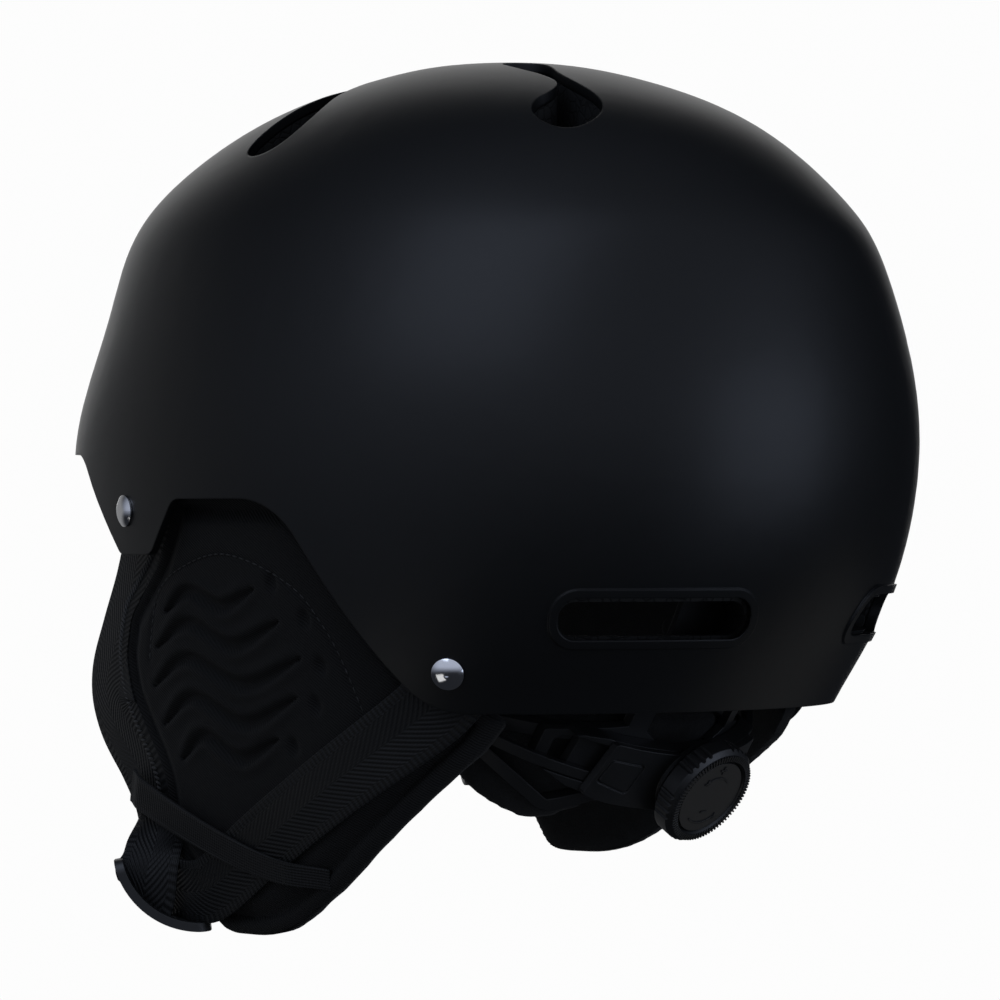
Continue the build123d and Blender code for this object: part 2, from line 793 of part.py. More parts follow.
with BuildPart() as housing_cover:
    add(cover_room)
    add(behind(face_outline(cover_outline, 1.2)), mode=Mode.INTERSECT)
    add(both_sides(panel_cut), mode=Mode.SUBTRACT)
    with BuildSketch(dial_plane.offset(channel_outer + 0.6)):
        Circle(cover_boss)
    extrude(amount=cover_seat - channel_outer - 0.6)
    with BuildSketch(dial_plane.offset(cover_seat - 0.4)):
        Circle(10.2)
        Circle(8.8, mode=Mode.SUBTRACT)
    extrude(amount=0.4, mode=Mode.SUBTRACT)
    with BuildSketch(dial_plane.offset(rack_radius)):
        Circle(pinion_shaft + 0.3)
    extrude(amount=rack_radius, mode=Mode.SUBTRACT)

with BuildPart() as ratchet_spring:
    with BuildSketch(dial_plane.offset(cover_seat - 0.35)):
        Circle(10.1)
        Circle(8.9, mode=Mode.SUBTRACT)
        with Locations((0, -10)):
            Rectangle(5, 6, mode=Mode.SUBTRACT)
    extrude(amount=1.1)

# Frame: a plate behind the housing, two loops to each side and two hangers into the helmet.
loop_meeting = (54.0, -9.0)
lower_loop = (loop_meeting, (34, -19.4), (21, -10.5))
upper_loop = (loop_meeting, (49, -0.5), (20, 10.5), (12, 5.5))
hanger_width = 6.0
eye_radius = 4.0
pin_radius = 2.0
pin_clearance = 0.15

frame_middle = (frame_inner + frame_outer) / 2
hanger_back = sqrt(frame_middle**2 - hanger_x**2)
hanger_point = cradle_centre + cradle_back * hanger_back + cradle_up * hanger_reach

with BuildSketch(face_plane) as frame_lines:
    with BuildLine() as loops:
        FilletPolyline(*lower_loop, radius=3.0)
    trace(loops.line, line_width=frame_band)
    with BuildLine() as upper:
        FilletPolyline(*upper_loop, radius=2.5)
    trace(upper.line, line_width=frame_band)
    with BuildLine() as hanger:
        Line((hanger_x, 8), (hanger_x, hanger_reach))
    trace(hanger.line, line_width=hanger_width)
    with Locations(loop_meeting):
        Circle(3.6)
    mirror(about=Plane.YZ)
    with Locations((0, -1)):
        RectangleRounded(56, 15, 3)

with BuildPart() as cradle_frame:
    add(ring(frame_inner, frame_outer, -40, 60))
    add(behind(frame_lines.sketch), mode=Mode.INTERSECT)
    for side in (1, -1):
        with Locations(Plane(Vector(side * hanger_x, hanger_point.Y, hanger_point.Z), z_dir=(1, 0, 0))):
            Cylinder(eye_radius, hanger_width)
            Cylinder(pin_radius + pin_clearance, 2 * hanger_width, mode=Mode.SUBTRACT)
    for plane in screw_planes:
        with BuildSketch(plane.offset(-frame_inner + 1)):
            with Locations((0, screw_height)):
                Circle(screw_radius + 0.1)
        extrude(amount=-frame_thickness - 2, mode=Mode.SUBTRACT)
        with BuildSketch(plane.offset(-frame_inner + 1)):
            with Locations((0, screw_height)):
                Circle(screw_head + 0.15)
        extrude(amount=-2.2, mode=Mode.SUBTRACT)

with BuildPart() as housing_screws:
    for plane in screw_planes:
        with BuildSketch(plane.offset(-frame_inner - 0.1)):
            with Locations((0, screw_height)):
                Circle(screw_head)
        extrude(amount=-1.0)
        with BuildSketch(plane.offset(-frame_inner - 1.0)):
            with Locations((0, screw_height)):
                Circle(screw_radius)
        extrude(amount=-rack_radius + frame_inner + 1.6)

pad_outline = mirrored(
    [(16, 13), (48, 3), (54.5, -5), (53.5, -18.5), (43, -26.5), (31, -27.5), (18, -16)]
)

with BuildPart() as nape_pad:
    add(ring(pad_inner, pad_outer, -40, 40))
    add(behind(face_outline(pad_outline, 5.0)), mode=Mode.INTERSECT)

# Brackets inside the foam that carry the hangers' pins.
lug_gap = 0.4
lug_width = 2.4
bracket_seat = cavity_inset + lie_gap
bracket_wall = 1.8
bracket_size = 18.0
bracket_reach = 20.0
bracket_room = dome(bracket_seat)
bracket_plate = bracket_room - dome(bracket_seat + bracket_wall)

lug_radius = pin_radius + 1.4
lug_edge = hanger_width / 2 + lug_gap + lug_width / 2  # from the hanger's middle to a lug's


def bracket_lug(x):
    """Ear that stands off the bracket's plate round the end of a hanger's pin."""
    with BuildPart() as lug:
        with Locations((x, hanger_point.Y, hanger_point.Z)):
            Cylinder(lug_radius, lug_width, rotation=(0, 90, 0))
        with Locations((x, hanger_point.Y + bracket_reach / 2, hanger_point.Z)):
            Box(lug_width, bracket_reach, 2 * lug_radius)
    return lug.part & bracket_room


bracket_lugs = [bracket_lug(side * hanger_x + edge * lug_edge) for side in (1, -1) for edge in (1, -1)]

with BuildPart() as cradle_brackets:
    for side in (1, -1):
        with Locations((side * hanger_x, hanger_point.Y + bracket_reach, hanger_point.Z + 1)):
            Box(bracket_size, 2 * bracket_reach, bracket_size)
    add(bracket_plate, mode=Mode.INTERSECT)
    for side in (1, -1):
        with Locations((side * hanger_x, hanger_point.Y, hanger_point.Z)):
            Cylinder(eye_radius + 0.6, hanger_width + 1, rotation=(0, 90, 0), mode=Mode.SUBTRACT)
    add(bracket_lugs)
    for side in (1, -1):
        with Locations((side * hanger_x, hanger_point.Y, hanger_point.Z)):
            Cylinder(pin_radius, 2 * lug_edge + lug_width, rotation=(0, 90, 0))

# ---------------------------------------------------------------- chin buckle
buckle_radius = 25.2
buckle_wall = 2.6
buckle_width = 12.0
buckle_start = 191.0  # degrees on the buckle's own arc
buckle_sweep = 86.0
slot_place = 226.0  # middle of the webbing's slot, on the same arc
slot_slack = 0.8
stud_place = 266.0
stud_radius = 2.4
stud_rise = 3.4
socket_plane = Plane((68.1, -49.9, buckle_radius + 0.2), x_dir=(-0.661, 0.75, 0), z_dir=(0.75, 0.661, 0))
plug_plane = Plane((-71.3, -65.0, 60.8), x_dir=(0.661, 0.75, 0), z_dir=(0.75, -0.661, 0))


def across_buckle(plane, angle, rise):
    """Plane through a buckle half's wall at an angle on its arc, its Z pointing out of the arc."""
    out = plane.x_dir * cos(radians(angle)) + plane.y_dir * sin(radians(angle))
    along = plane.y_dir * cos(radians(angle)) - plane.x_dir * sin(radians(angle))
    return Plane(plane.origin + out * (buckle_radius + rise), x_dir=along, z_dir=out)


def buckle_half(plane):
    """Curved plate with rounded corners and the slot that its webbing passes through."""
    with BuildPart() as half:
        with BuildSketch(plane):
            with BuildLine():
                outer_edge = CenterArc((0, 0), buckle_radius, buckle_start, buckle_sweep)
                inner_edge = CenterArc((0, 0), buckle_radius - buckle_wall, buckle_start, buckle_sweep)
                Line(outer_edge @ 0, inner_edge @ 0)
                Line(outer_edge @ 1, inner_edge @ 1)
            make_face()
        extrude(amount=buckle_width / 2, both=True)
        corners = half.edges().filter_by(lambda edge: abs(edge.length - buckle_wall) < 0.01)
        fillet(corners, buckle_width / 3)
        with BuildSketch(across_buckle(plane, slot_place, buckle_wall)):
            Rectangle(strap_width + slot_slack, strap_thickness + slot_slack)
        extrude(amount=-4 * buckle_wall, mode=Mode.SUBTRACT)
    return half.part


with BuildPart() as buckle_socket:
    add(buckle_half(socket_plane))
    with BuildSketch(across_buckle(socket_plane, stud_place, buckle_wall)):
        Circle(stud_radius + 0.2)
    extrude(amount=-3 * buckle_wall, mode=Mode.SUBTRACT)

with BuildPart() as buckle_plug:
    add(buckle_half(plug_plane))
    with BuildSketch(across_buckle(plug_plane, stud_place, -buckle_wall / 2)):
        Circle(stud_radius)
    extrude(amount=-stud_rise)

# Folded webbing that joins each front strap's lower end to the slot of its half of the buckle.
fold_places = {"left": (-63.4, 26.2), "right": (-79.0, 61.8)}  # Y and Z where the fold starts


def strap_loop_part(name, plane):
    """Webbing from a front strap's lower end through a buckle half's slot."""
    y, z = fold_places[name]
    x = flap_face_x(y, z, strap_inlay + strap_thickness / 2)
    lean = flap_face_x(y + 1, z) - flap_face_x(y, z)
    side = flap_sides[name]
    top_plane = Plane((side * x, y, z), x_dir=(side * lean, 1, 0), z_dir=(0, 0, -1))
    slot_plane = across_buckle(plane, slot_place, -2 * buckle_wall)
    with BuildPart() as webbing:
        for section in (top_plane, slot_plane):
            with BuildSketch(section):
                Rectangle(strap_width, strap_thickness)
        loft()
        with BuildSketch(slot_plane):
            Rectangle(strap_width, strap_thickness)
        extrude(amount=2 * buckle_wall)
    return webbing


left_strap_loop = strap_loop_part("left", socket_plane)
right_strap_loop = strap_loop_part("right", plug_plane)

for part_name, piece in (
    ("outer_shell", outer_shell), ("foam_liner", foam_liner), ("crown_pad", crown_pad),
    ("brow_pad", brow_pad), ("side_pads", side_pads), ("rear_pads", rear_pads),
    ("left_flap_top", flap_tops["left"]), ("right_flap_top", flap_tops["right"]),
    ("left_ear_flap", ear_flaps["left"]), ("right_ear_flap", ear_flaps["right"]),
    ("left_strap_tops", strap_tops["left"]), ("right_strap_tops", strap_tops["right"]),
    ("left_front_strap", front_straps["left"]), ("right_front_strap", front_straps["right"]),
    ("left_rear_strap", rear_straps["left"]), ("right_rear_strap", rear_straps["right"]),
    ("left_strap_loop", left_strap_loop), ("right_strap_loop", right_strap_loop),
    ("left_keeper", keepers["left"]), ("right_keeper", keepers["right"]),
    ("strap_rivets", strap_rivets), ("rivet_washers", rivet_washers),
    ("left_rack_arm", left_rack_arm), ("right_rack_arm", right_rack_arm),
    ("dial_pinion", dial_pinion), ("dial_knob", dial_knob), ("dial_screw", dial_screw),
    ("dial_cap", dial_cap), ("dial_housing", dial_housing), ("housing_cover", housing_cover),
    ("ratchet_spring", ratchet_spring), ("cradle_frame", cradle_frame), ("housing_screws", housing_screws),
    ("nape_pad", nape_pad), ("cradle_brackets", cradle_brackets), ("buckle_socket", buckle_socket),
    ("buckle_plug", buckle_plug),
):
    piece.part.label = part_name
    export_step(piece.part, f"parts/{part_name}.step")
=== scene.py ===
# %% [markdown]
# A ski helmet, finished in Blender around its packed CAD frame.
# The moulded shell, the foam liner, the rivets, the dial and its cradle are good as solids and only need
# materials. Everything sewn or stuffed is made here: the padded ear flaps, the webbing, the elastic
# keepers and the comfort pads. The keepers, the folded strap ends and the pads ride on the same body as the
# solid that each stands for; the flaps, the straps and their stitches ride on no body.

import math

import bpy
import numpy as np
from mathutils import Matrix, Vector


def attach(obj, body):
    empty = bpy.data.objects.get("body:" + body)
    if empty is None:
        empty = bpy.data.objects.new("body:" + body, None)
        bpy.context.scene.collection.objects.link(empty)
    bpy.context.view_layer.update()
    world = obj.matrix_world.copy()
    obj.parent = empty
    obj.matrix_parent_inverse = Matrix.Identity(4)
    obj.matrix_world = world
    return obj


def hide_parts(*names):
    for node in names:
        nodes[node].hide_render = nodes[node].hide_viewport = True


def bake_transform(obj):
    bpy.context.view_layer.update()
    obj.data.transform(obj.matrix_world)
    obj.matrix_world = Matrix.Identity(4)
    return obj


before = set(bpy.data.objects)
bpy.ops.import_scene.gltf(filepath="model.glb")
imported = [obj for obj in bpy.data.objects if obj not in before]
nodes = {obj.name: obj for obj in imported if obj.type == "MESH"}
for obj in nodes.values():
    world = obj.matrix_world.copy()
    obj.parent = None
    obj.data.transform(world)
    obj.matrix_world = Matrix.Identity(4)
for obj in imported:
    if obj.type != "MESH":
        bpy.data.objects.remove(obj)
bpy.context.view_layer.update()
MM = 0.001

# %% [markdown]
# The flaps lie on one smooth face that leans in towards the chin and bows round the jaw. Straps, pads and
# seams are all placed on it, so the face is written once, as a half width for each place along and up.

# %% The face that flaps and straps lie on
# All in millimetres, as the solids have them.
mid_y = 4.54  # where the shell is widest
half_width = 106.0
back_reach = 128.96
face_top = 132.0  # height at which the face starts to lean in
face_inset = 3.8  # from the shell's surface to the face
face_lean = 0.235  # inwards for each millimetre down
jaw_start = 131.4  # how far the face's curve reaches forward at its top
jaw_bow = 43.6  # and how much further it reaches round the jaw
jaw_height = 70.0
nape_inset = 6.6  # from the shell's back to where the face's curve ends
nape_lean = 0.4  # and how far that end moves forward for each millimetre down
nape_drop = 100.0  # it moves no further below this
curve_end = 0.03  # keeps the face open where its curve would close
side_of = {"left": 1.0, "right": -1.0}


def face_x(y, z, depth):
    """Half width in millimetres of the flaps' outer face, moved in by depth."""
    drop = face_top - z
    t = np.clip(drop / jaw_height, 0.0, 1.0)
    front = jaw_start + jaw_bow * (3 * t**2 - 2 * t**3) - depth
    back = back_reach - nape_inset - nape_lean * np.clip(drop, 0.0, nape_drop) - depth
    reach = np.where(y < mid_y, front, back)
    side = half_width - face_inset - face_lean * drop - depth
    return side * np.sqrt(np.clip(1.0 - ((y - mid_y) / reach) ** 2, curve_end, 1.0))


def on_face(side, y, z, depth):
    """Points in millimetres on the face, for arrays of places and depths."""
    return np.stack([side * face_x(y, z, depth), y, z], axis=-1)


print("half width at the ear", round(float(face_x(0.0, 90.0, 0.0)), 1))

# %% [markdown]
# A pattern maker draws with two tools. The first is a smooth line through a few marks, for straps and for
# lines of stitches. A curve object could be drawn by hand, but this line passes through every mark, and
# its length is known.

# %% A smooth line through marks
def run_along(points):
    """Length of a line up to each of its points."""
    return np.concatenate([[0], np.cumsum(np.linalg.norm(np.diff(points, axis=0), axis=1))])


def evenly(points, count):
    """Evenly spaced points along a line."""
    run = run_along(points)
    steps = np.linspace(0, run[-1], count)
    return np.stack([np.interp(steps, run, points[:, k]) for k in range(points.shape[1])], axis=1)


def smooth_line(marks, count):
    """Evenly spaced points on a smooth line through the marks, and the line's length."""
    marks = np.array(marks, float)
    ends = np.vstack([2 * marks[0] - marks[1], marks, 2 * marks[-1] - marks[-2]])
    t = np.linspace(0, 1, 24, endpoint=False)[:, None]
    spans = []
    for a, b, c, d in zip(ends, ends[1:], ends[2:], ends[3:]):
        spans.append(0.5 * (2 * b + (c - a) * t + (2 * a - 5 * b + 4 * c - d) * t**2
                            + (3 * b - a - 3 * c + d) * t**3))
    line = np.vstack([*spans, marks[-1:]])
    return evenly(line, count), run_along(line)[-1]


bow_length = smooth_line(((0, 0), (30, 9), (60, 0)), 50)[1]
print("a bow through three marks is", round(float(bow_length), 1), "mm long")

# %% [markdown]
# The second tool is an outline with rounded corners, for a panel. Each corner has its own radius, wide at
# a flap's tip and tight at its upper corners, and becomes one short curve, as scissors would cut it.

# %% An outline with rounded corners
def rounded_outline(corners, radii):
    """Closed outline with its corners rounded, as points about a millimetre apart."""
    corners = np.array(corners, float)
    points = []
    for k, radius in enumerate(radii):
        here, before, after = corners[k], corners[k - 1], corners[(k + 1) % len(corners)]
        to_before = (before - here) / np.linalg.norm(before - here)
        to_after = (after - here) / np.linalg.norm(after - here)
        half_angle = math.acos(np.clip(to_before @ to_after, -1, 1)) / 2
        cut = radius / math.tan(half_angle)
        for t in np.linspace(0, 1, 9):
            points.append((1 - t) ** 2 * (here + cut * to_before) + 2 * t * (1 - t) * here
                          + t**2 * (here + cut * to_after))
    points = np.array(points + points[:1])
    return evenly(points, int(run_along(points)[-1]))


square = rounded_outline(((0, 0), (40, 0), (40, 40), (0, 40)), (5, 5, 5, 5))
print("a rounded square of 40 has", len(square), "points")

# %% [markdown]
# Padding is thickest away from its seams, and a strap ends where it goes under a panel. So each point is
# asked two things: how far is it from a line, and is it inside an outline?

# %% Near a line, and inside an outline
def nearest(points, line):
    """Distance from each point to the nearest point of a line, and which one that is."""
    best = np.full(len(points), 1e9)
    which = np.zeros(len(points), int)
    for k, mark in enumerate(line):
        gap = np.hypot(points[:, 0] - mark[0], points[:, 1] - mark[1])
        closer = gap < best
        best[closer] = gap[closer]
        which[closer] = k
    return best, which


def inside(points, outline):
    """Whether each point lies inside a closed outline."""
    result = np.zeros(len(points), bool)
    for (y0, z0), (y1, z1) in zip(outline, np.roll(outline, -1, axis=0)):
        if z0 == z1:
            continue
        crosses = (z0 > points[:, 1]) != (z1 > points[:, 1])
        at = y0 + (points[:, 1] - z0) * (y1 - y0) / (z1 - z0)
        result ^= crosses & (points[:, 0] < at)
    return result


print("the square's middle is inside:", bool(inside(np.array([[20.0, 20.0]]), square)[0]))

# %% [markdown]
# An ear flap is a rounded panel, wide under the arch of the shell and narrow at the jaw. Its corners are
# places along and up, from the front of its top down and round. The right flap's tip is tucked in, so it
# ends higher and further back.

# %% The flaps' outlines
corner_radii = (4, 30, 16, 20, 20, 20, 14, 12, 48, 60, 5, 3, 8, 20)
flap_corners = {}
flap_edges = {}
for name, lift, shift in (("left", 0.0, 0.0), ("right", 17.0, 7.0)):
    flap_corners[name] = ((-34.5, 127.5), (-48, 108), (-66, 92.5), (-71, 80), (-70, 67), (-60, 45),
                          (-60 + shift, 23 + lift), (-42 + shift, lift), (-15 + shift, lift),
                          (12 + shift, 17 + lift), (56, 54.5), (63, 63), (51, 74), (19, 126.5))
    flap_edges[name] = rounded_outline(flap_corners[name], corner_radii)
print("flap outline points", len(flap_edges["left"]))

# %% [markdown]
# An operator works on all that is selected, so each one starts from a clean selection. Modifiers are
# applied as soon as a piece is made, which leaves a plain mesh.

# %% Selecting and applying
def clear_selection():
    bpy.ops.object.select_all(action="DESELECT")


def select_only(piece):
    clear_selection()
    piece.select_set(True)
    bpy.context.view_layer.objects.active = piece


def apply_all(piece):
    """Applies every modifier of a piece."""
    select_only(piece)
    for modifier in list(piece.modifiers):
        bpy.ops.object.modifier_apply(modifier=modifier.name)


print("selected by the load", len(bpy.context.selected_objects))

# %% [markdown]
# Sewn pieces start as a flat grid, as cloth is cut flat. The grid is then laid in its place, row by row.
# A map of real millimetres goes with it, so that a weave has the right size wherever the piece bends.

# %% Laying a flat grid
MAP_UNIT = 10.0  # millimetres of cloth for each unit of the map


def laid_grid(name, across, along, place):
    """Grid whose points go to place(u, v) in millimetres; place also gives the map's two lengths."""
    clear_selection()
    bpy.ops.mesh.primitive_grid_add(x_subdivisions=across, y_subdivisions=along, size=1, location=(0, 0, 0))
    piece = bpy.context.object
    piece.name = piece.data.name = name
    mesh = piece.data
    flat = np.empty(len(mesh.vertices) * 3)
    mesh.vertices.foreach_get("co", flat)
    flat = flat.reshape(-1, 3)
    points, run, width = place(flat[:, 0] + 0.5, flat[:, 1] + 0.5)
    mesh.vertices.foreach_set("co", (points * MM).ravel())
    corners = np.empty(len(mesh.loops), int)
    mesh.loops.foreach_get("vertex_index", corners)
    layer = mesh.uv_layers[0] if mesh.uv_layers else mesh.uv_layers.new(name="UVMap")
    layer.data.foreach_set("uv", (np.stack([run[corners], width[corners]], axis=1) / MAP_UNIT).ravel())
    mesh.update()
    return piece


print("one unit of a map is", MAP_UNIT, "mm of cloth")

# %% [markdown]
# Pieces made in parts are joined, and the points that meet are merged, so that the skin has no seam. Then
# all faces are turned outward, and shading is smooth but for edges sharper than a crease.

# %% Joining parts and turning faces outward
crease = math.radians(50)


def outward(piece):
    """Turns all faces outward, and shades smooth but for real edges."""
    select_only(piece)
    bpy.ops.object.mode_set(mode="EDIT")
    bpy.ops.mesh.select_all(action="SELECT")
    bpy.ops.mesh.normals_make_consistent(inside=False)
    bpy.ops.object.mode_set(mode="OBJECT")
    bpy.ops.object.shade_smooth_by_angle(angle=crease)


def join(pieces, name, merge=0.00003):
    """Joins pieces into one mesh and merges the points that meet."""
    clear_selection()
    for piece in pieces:
        piece.select_set(True)
    bpy.context.view_layer.objects.active = pieces[0]
    if len(pieces) > 1:
        bpy.ops.object.join()
    whole = bpy.context.view_layer.objects.active
    whole.name = whole.data.name = name
    bpy.ops.object.mode_set(mode="EDIT")
    bpy.ops.mesh.select_all(action="SELECT")
    bpy.ops.mesh.remove_doubles(threshold=merge)
    bpy.ops.object.mode_set(mode="OBJECT")
    return whole


print("an edge stays sharp past", round(math.degrees(crease)), "degrees")

# %% [markdown]
# A flap folds outwards along a line that runs down to the back, by the edge of the shell. Its cloth has no
# pin there: it bends. The pieces given to the function below are not blended from the shell's motion to the
# flap's, nor put on the flap: each only has its place written into its mesh.


def hang_on_hinge(piece, side_name):
    """Writes a piece's place into its mesh; the piece is neither bent nor put on its flap's body."""
    side_name + "_flap"
    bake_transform(piece)


# %% [markdown]
# Materials are small programs. Writing them with plain sums reads better than wiring nodes by hand, so one
# little class lets a node's output be added, taken away and multiplied like a number.

# %% Shader sums
class Wire:
    """One output of a material's node, which can be used in sums."""

    def __init__(self, material, socket=None):
        self.material, self.socket = material, socket

    def make(self, kind, inputs=None, output=0, **settings):
        node = self.material.node_tree.nodes.new(kind)
        for key, value in settings.items():
            setattr(node, key, value)
        for key, value in (inputs or {}).items():
            self.into(node.inputs[key], value)
        return Wire(self.material, node.outputs[output])

    def into(self, target, value):
        if isinstance(value, Wire):
            self.material.node_tree.links.new(value.socket, target)
        else:
            target.default_value = value

    def sum(self, operation, *values):
        return self.make("ShaderNodeMath", dict(enumerate(values)), operation=operation)

    def __add__(self, other):
        return self.sum("ADD", self, other)

    def __radd__(self, other):
        return self.sum("ADD", other, self)

    def __sub__(self, other):
        return self.sum("SUBTRACT", self, other)

    def __rsub__(self, other):
        return self.sum("SUBTRACT", other, self)

    def __mul__(self, other):
        return self.sum("MULTIPLY", self, other)

    def __rmul__(self, other):
        return self.sum("MULTIPLY", other, self)

    def sin(self):
        return self.sum("SINE", self)

    def abs(self):
        return self.sum("ABSOLUTE", self)

    def ramp(self, low, high):
        """0 below low, 1 above high, smooth between."""
        return self.make("ShaderNodeMapRange", {0: self, 1: low, 2: high}, interpolation_type="SMOOTHSTEP")

    def mix(self, start, end):
        """From colour start to colour end as this goes from 0 to 1."""
        return self.make("ShaderNodeMix", {0: self, 6: start, 7: end}, output=2, data_type="RGBA")

    def scale(self, factor):
        """A vector made this many times longer."""
        return self.make("ShaderNodeVectorMath", {0: self, 3: factor}, operation="SCALE")

    def part(self, axis):
        """X, Y or Z of a vector."""
        return self.make("ShaderNodeSeparateXYZ", {0: self}, output="XYZ".index(axis))

    def noise(self, size, detail=2.0):
        """Cloudy noise whose lumps are about size millimetres, on a vector in millimetres."""
        return self.make("ShaderNodeTexNoise", {"Vector": self, "Scale": 1.0 / size, "Detail": detail})


print("a wire can", [name for name in vars(Wire) if name[0] != "_"])

# %% [markdown]
# A finish is then one small function, which is given a place in millimetres and says the colour, the
# roughness and the height of the grain there. The rest is the same for each finish and is written once:
# the height goes through a bump, and a bevel in the shading rounds moulded edges without a new face.

# %% A finish from a few sums
def grey(value, blue=1.12):
    """Near-black with the slight blue cast of dyed cloth and moulded plastic."""
    return (value, value * (1 + (blue - 1) / 2), value * blue, 1.0)


def finish_of(name, paint, roughness=0.5, specular=0.5, metallic=0.0, sheen=0.0, edge=0.0):
    """Material from paint(place, cut), both in millimetres; edge is the radius of its softened edges."""
    material = bpy.data.materials.new(name)
    material.use_nodes = True
    surface = material.node_tree.nodes["Principled BSDF"]
    for key, value in (("Roughness", roughness), ("Specular IOR Level", specular), ("Metallic", metallic),
                       ("Sheen Weight", sheen), ("Sheen Roughness", 0.4)):
        surface.inputs[key].default_value = value
    start = Wire(material)
    place = start.make("ShaderNodeTexCoord", output=3).scale(1000.0)
    cut = start.make("ShaderNodeTexCoord", output=2).scale(MAP_UNIT)
    made = paint(place, cut)
    start.into(surface.inputs["Base Color"], made["colour"])
    if "roughness" in made:
        start.into(surface.inputs["Roughness"], made["roughness"])
    relief = {"Height": made["height"], "Strength": 1.0, "Distance": MM}
    if edge:
        relief["Normal"] = start.make("ShaderNodeBevel", {"Radius": edge * MM}, samples=4)
    start.into(surface.inputs["Normal"], start.make("ShaderNodeBump", relief))
    return material


print("a near-black", [round(part, 5) for part in grey(0.003)])

# %% [markdown]
# Hard finishes. The shell is satin black: a mould's fine grain spreads each reflection into a soft glow.
# Bead foam shows the outlines of its beads. Moulded plastic has a fine spark-eroded grain, and rivets are
# polished steel. Each finish gives its colour, its roughness and the height of its grain in millimetres.

# %% Hard finishes
def satin_paint(place, cut):
    grain = place.noise(0.35)
    cloud = place.noise(60.0)
    return {"colour": cloud.mix(grey(0.0024, 1.3), grey(0.0030, 1.3)),
            "roughness": 0.36 + 0.05 * grain + 0.03 * cloud, "height": 0.006 * grain}


def bead_paint(place, cut):
    bead = 3.2
    cell = place.make("ShaderNodeTexVoronoi", {"Vector": place, "Scale": 1 / bead},
                      feature="DISTANCE_TO_EDGE")
    wall = cell.ramp(0.0, 0.12)
    return {"colour": wall.mix(grey(0.004), grey(0.009)), "roughness": 0.82 - 0.12 * wall,
            "height": 0.12 * wall + 0.02 * place.noise(0.5)}


def grained_paint(place, cut):
    grain = place.noise(0.22)
    wear = place.noise(9.0)
    return {"colour": wear.mix(grey(0.003), grey(0.005)), "roughness": 0.36 + 0.12 * grain + 0.06 * wear,
            "height": 0.012 * grain}


def polished_paint(place, cut):
    swirl = place.noise(1.6)
    return {"colour": swirl.mix((0.66, 0.66, 0.67, 1), (0.72, 0.72, 0.73, 1)),
            "roughness": 0.10 + 0.08 * swirl, "height": 0.01 * swirl}


shell_satin = finish_of("shell_satin", satin_paint, specular=0.22, edge=0.7)
bead_foam = finish_of("bead_foam", bead_paint, specular=0.1)
moulded_plastic = finish_of("moulded_plastic", grained_paint, specular=0.4, edge=0.4)
dial_plastic = finish_of("dial_plastic", grained_paint, specular=0.45, edge=0.3)
polished_steel = finish_of("polished_steel", polished_paint, metallic=1.0)
zinc_steel = finish_of("zinc_steel", polished_paint, metallic=1.0)
print("hard finishes", 6)

# %% [markdown]
# Cloth finishes. A twill shows fine slanting ribs; strap webbing is a herringbone, two fields of slanting
# ribs that meet in a V, with short cross bars along both edges; elastic is ribbed straight across. A
# brushed knit is all short fibres, which the sheen lobe and a fine noise give.

# %% Cloth finishes
def ribs(along, pitch):
    """Ribs a pitch apart: 1 on each rib, 0 between two."""
    return 0.5 + 0.5 * (along * (2 * math.pi / pitch)).sin()


def twill_paint(place, cut):
    rib = ribs(0.64 * place.part("Y") + 0.77 * place.part("Z") + 0.3 * place.noise(3.0), 0.8)
    thread = ribs(0.77 * place.part("Y") - 0.64 * place.part("Z"), 0.5)
    fuzz = place.noise(0.3)
    return {"colour": (rib * 0.7 + fuzz * 0.3).mix(grey(0.0016), grey(0.0062)),
            "height": 0.16 * rib + 0.04 * thread + 0.05 * fuzz}


def webbing_paint(place, cut):
    along, across = cut.part("X"), cut.part("Y")
    off = across.abs()
    slant = ribs(along * 0.62 + off * 0.9, 1.35)
    bars = ribs(along, 1.7)
    edge = off.ramp(6.4, 6.9)
    yarn = ribs(across, 0.62)
    weave = slant * (1 - edge) + bars * edge
    fuzz = place.noise(0.25)
    return {"colour": (weave * 0.75 + fuzz * 0.25).mix(grey(0.0014, 1.25), grey(0.0050, 1.25)),
            "height": 0.18 * weave + 0.05 * yarn + 0.04 * fuzz}


def elastic_paint(place, cut):
    along, across = cut.part("X"), cut.part("Y")
    rib = ribs(along, 0.9)
    cord = ribs(across, 0.8)
    rim = across.abs().ramp(3.2, 3.6)
    return {"colour": (rib * 0.4 + rim * 0.6).mix(grey(0.002), grey(0.007)),
            "height": 0.12 * rib + 0.10 * cord + 0.1 * rim}


def brushed_paint(place, cut):
    pile = place.noise(0.45, 4.0)
    clump = place.noise(4.0)
    return {"colour": (pile * 0.6 + clump * 0.4).mix(grey(0.003), grey(0.010)),
            "height": 0.35 * pile + 0.25 * clump}


def stitch_paint(place, cut):
    twist = ribs(cut.part("X"), 0.5)
    return {"colour": twist.mix(grey(0.008), grey(0.03)), "height": 0.06 * twist}


flap_twill = finish_of("flap_twill", twill_paint, roughness=0.72, specular=0.12, sheen=0.02)
strap_webbing = finish_of("strap_webbing", webbing_paint, roughness=0.53, specular=0.2, sheen=0.012)
ribbed_elastic = finish_of("ribbed_elastic", elastic_paint, roughness=0.62, specular=0.2, sheen=0.02)
brushed_knit = finish_of("brushed_knit", brushed_paint, roughness=0.85, specular=0.08, sheen=0.04)
sewing_thread = finish_of("sewing_thread", stitch_paint, roughness=0.5, specular=0.4)
print("cloth finishes", 5)

# %% [markdown]
# Each solid that stays gets the finish of the real piece. The mesh isn't touched, only its material slots.

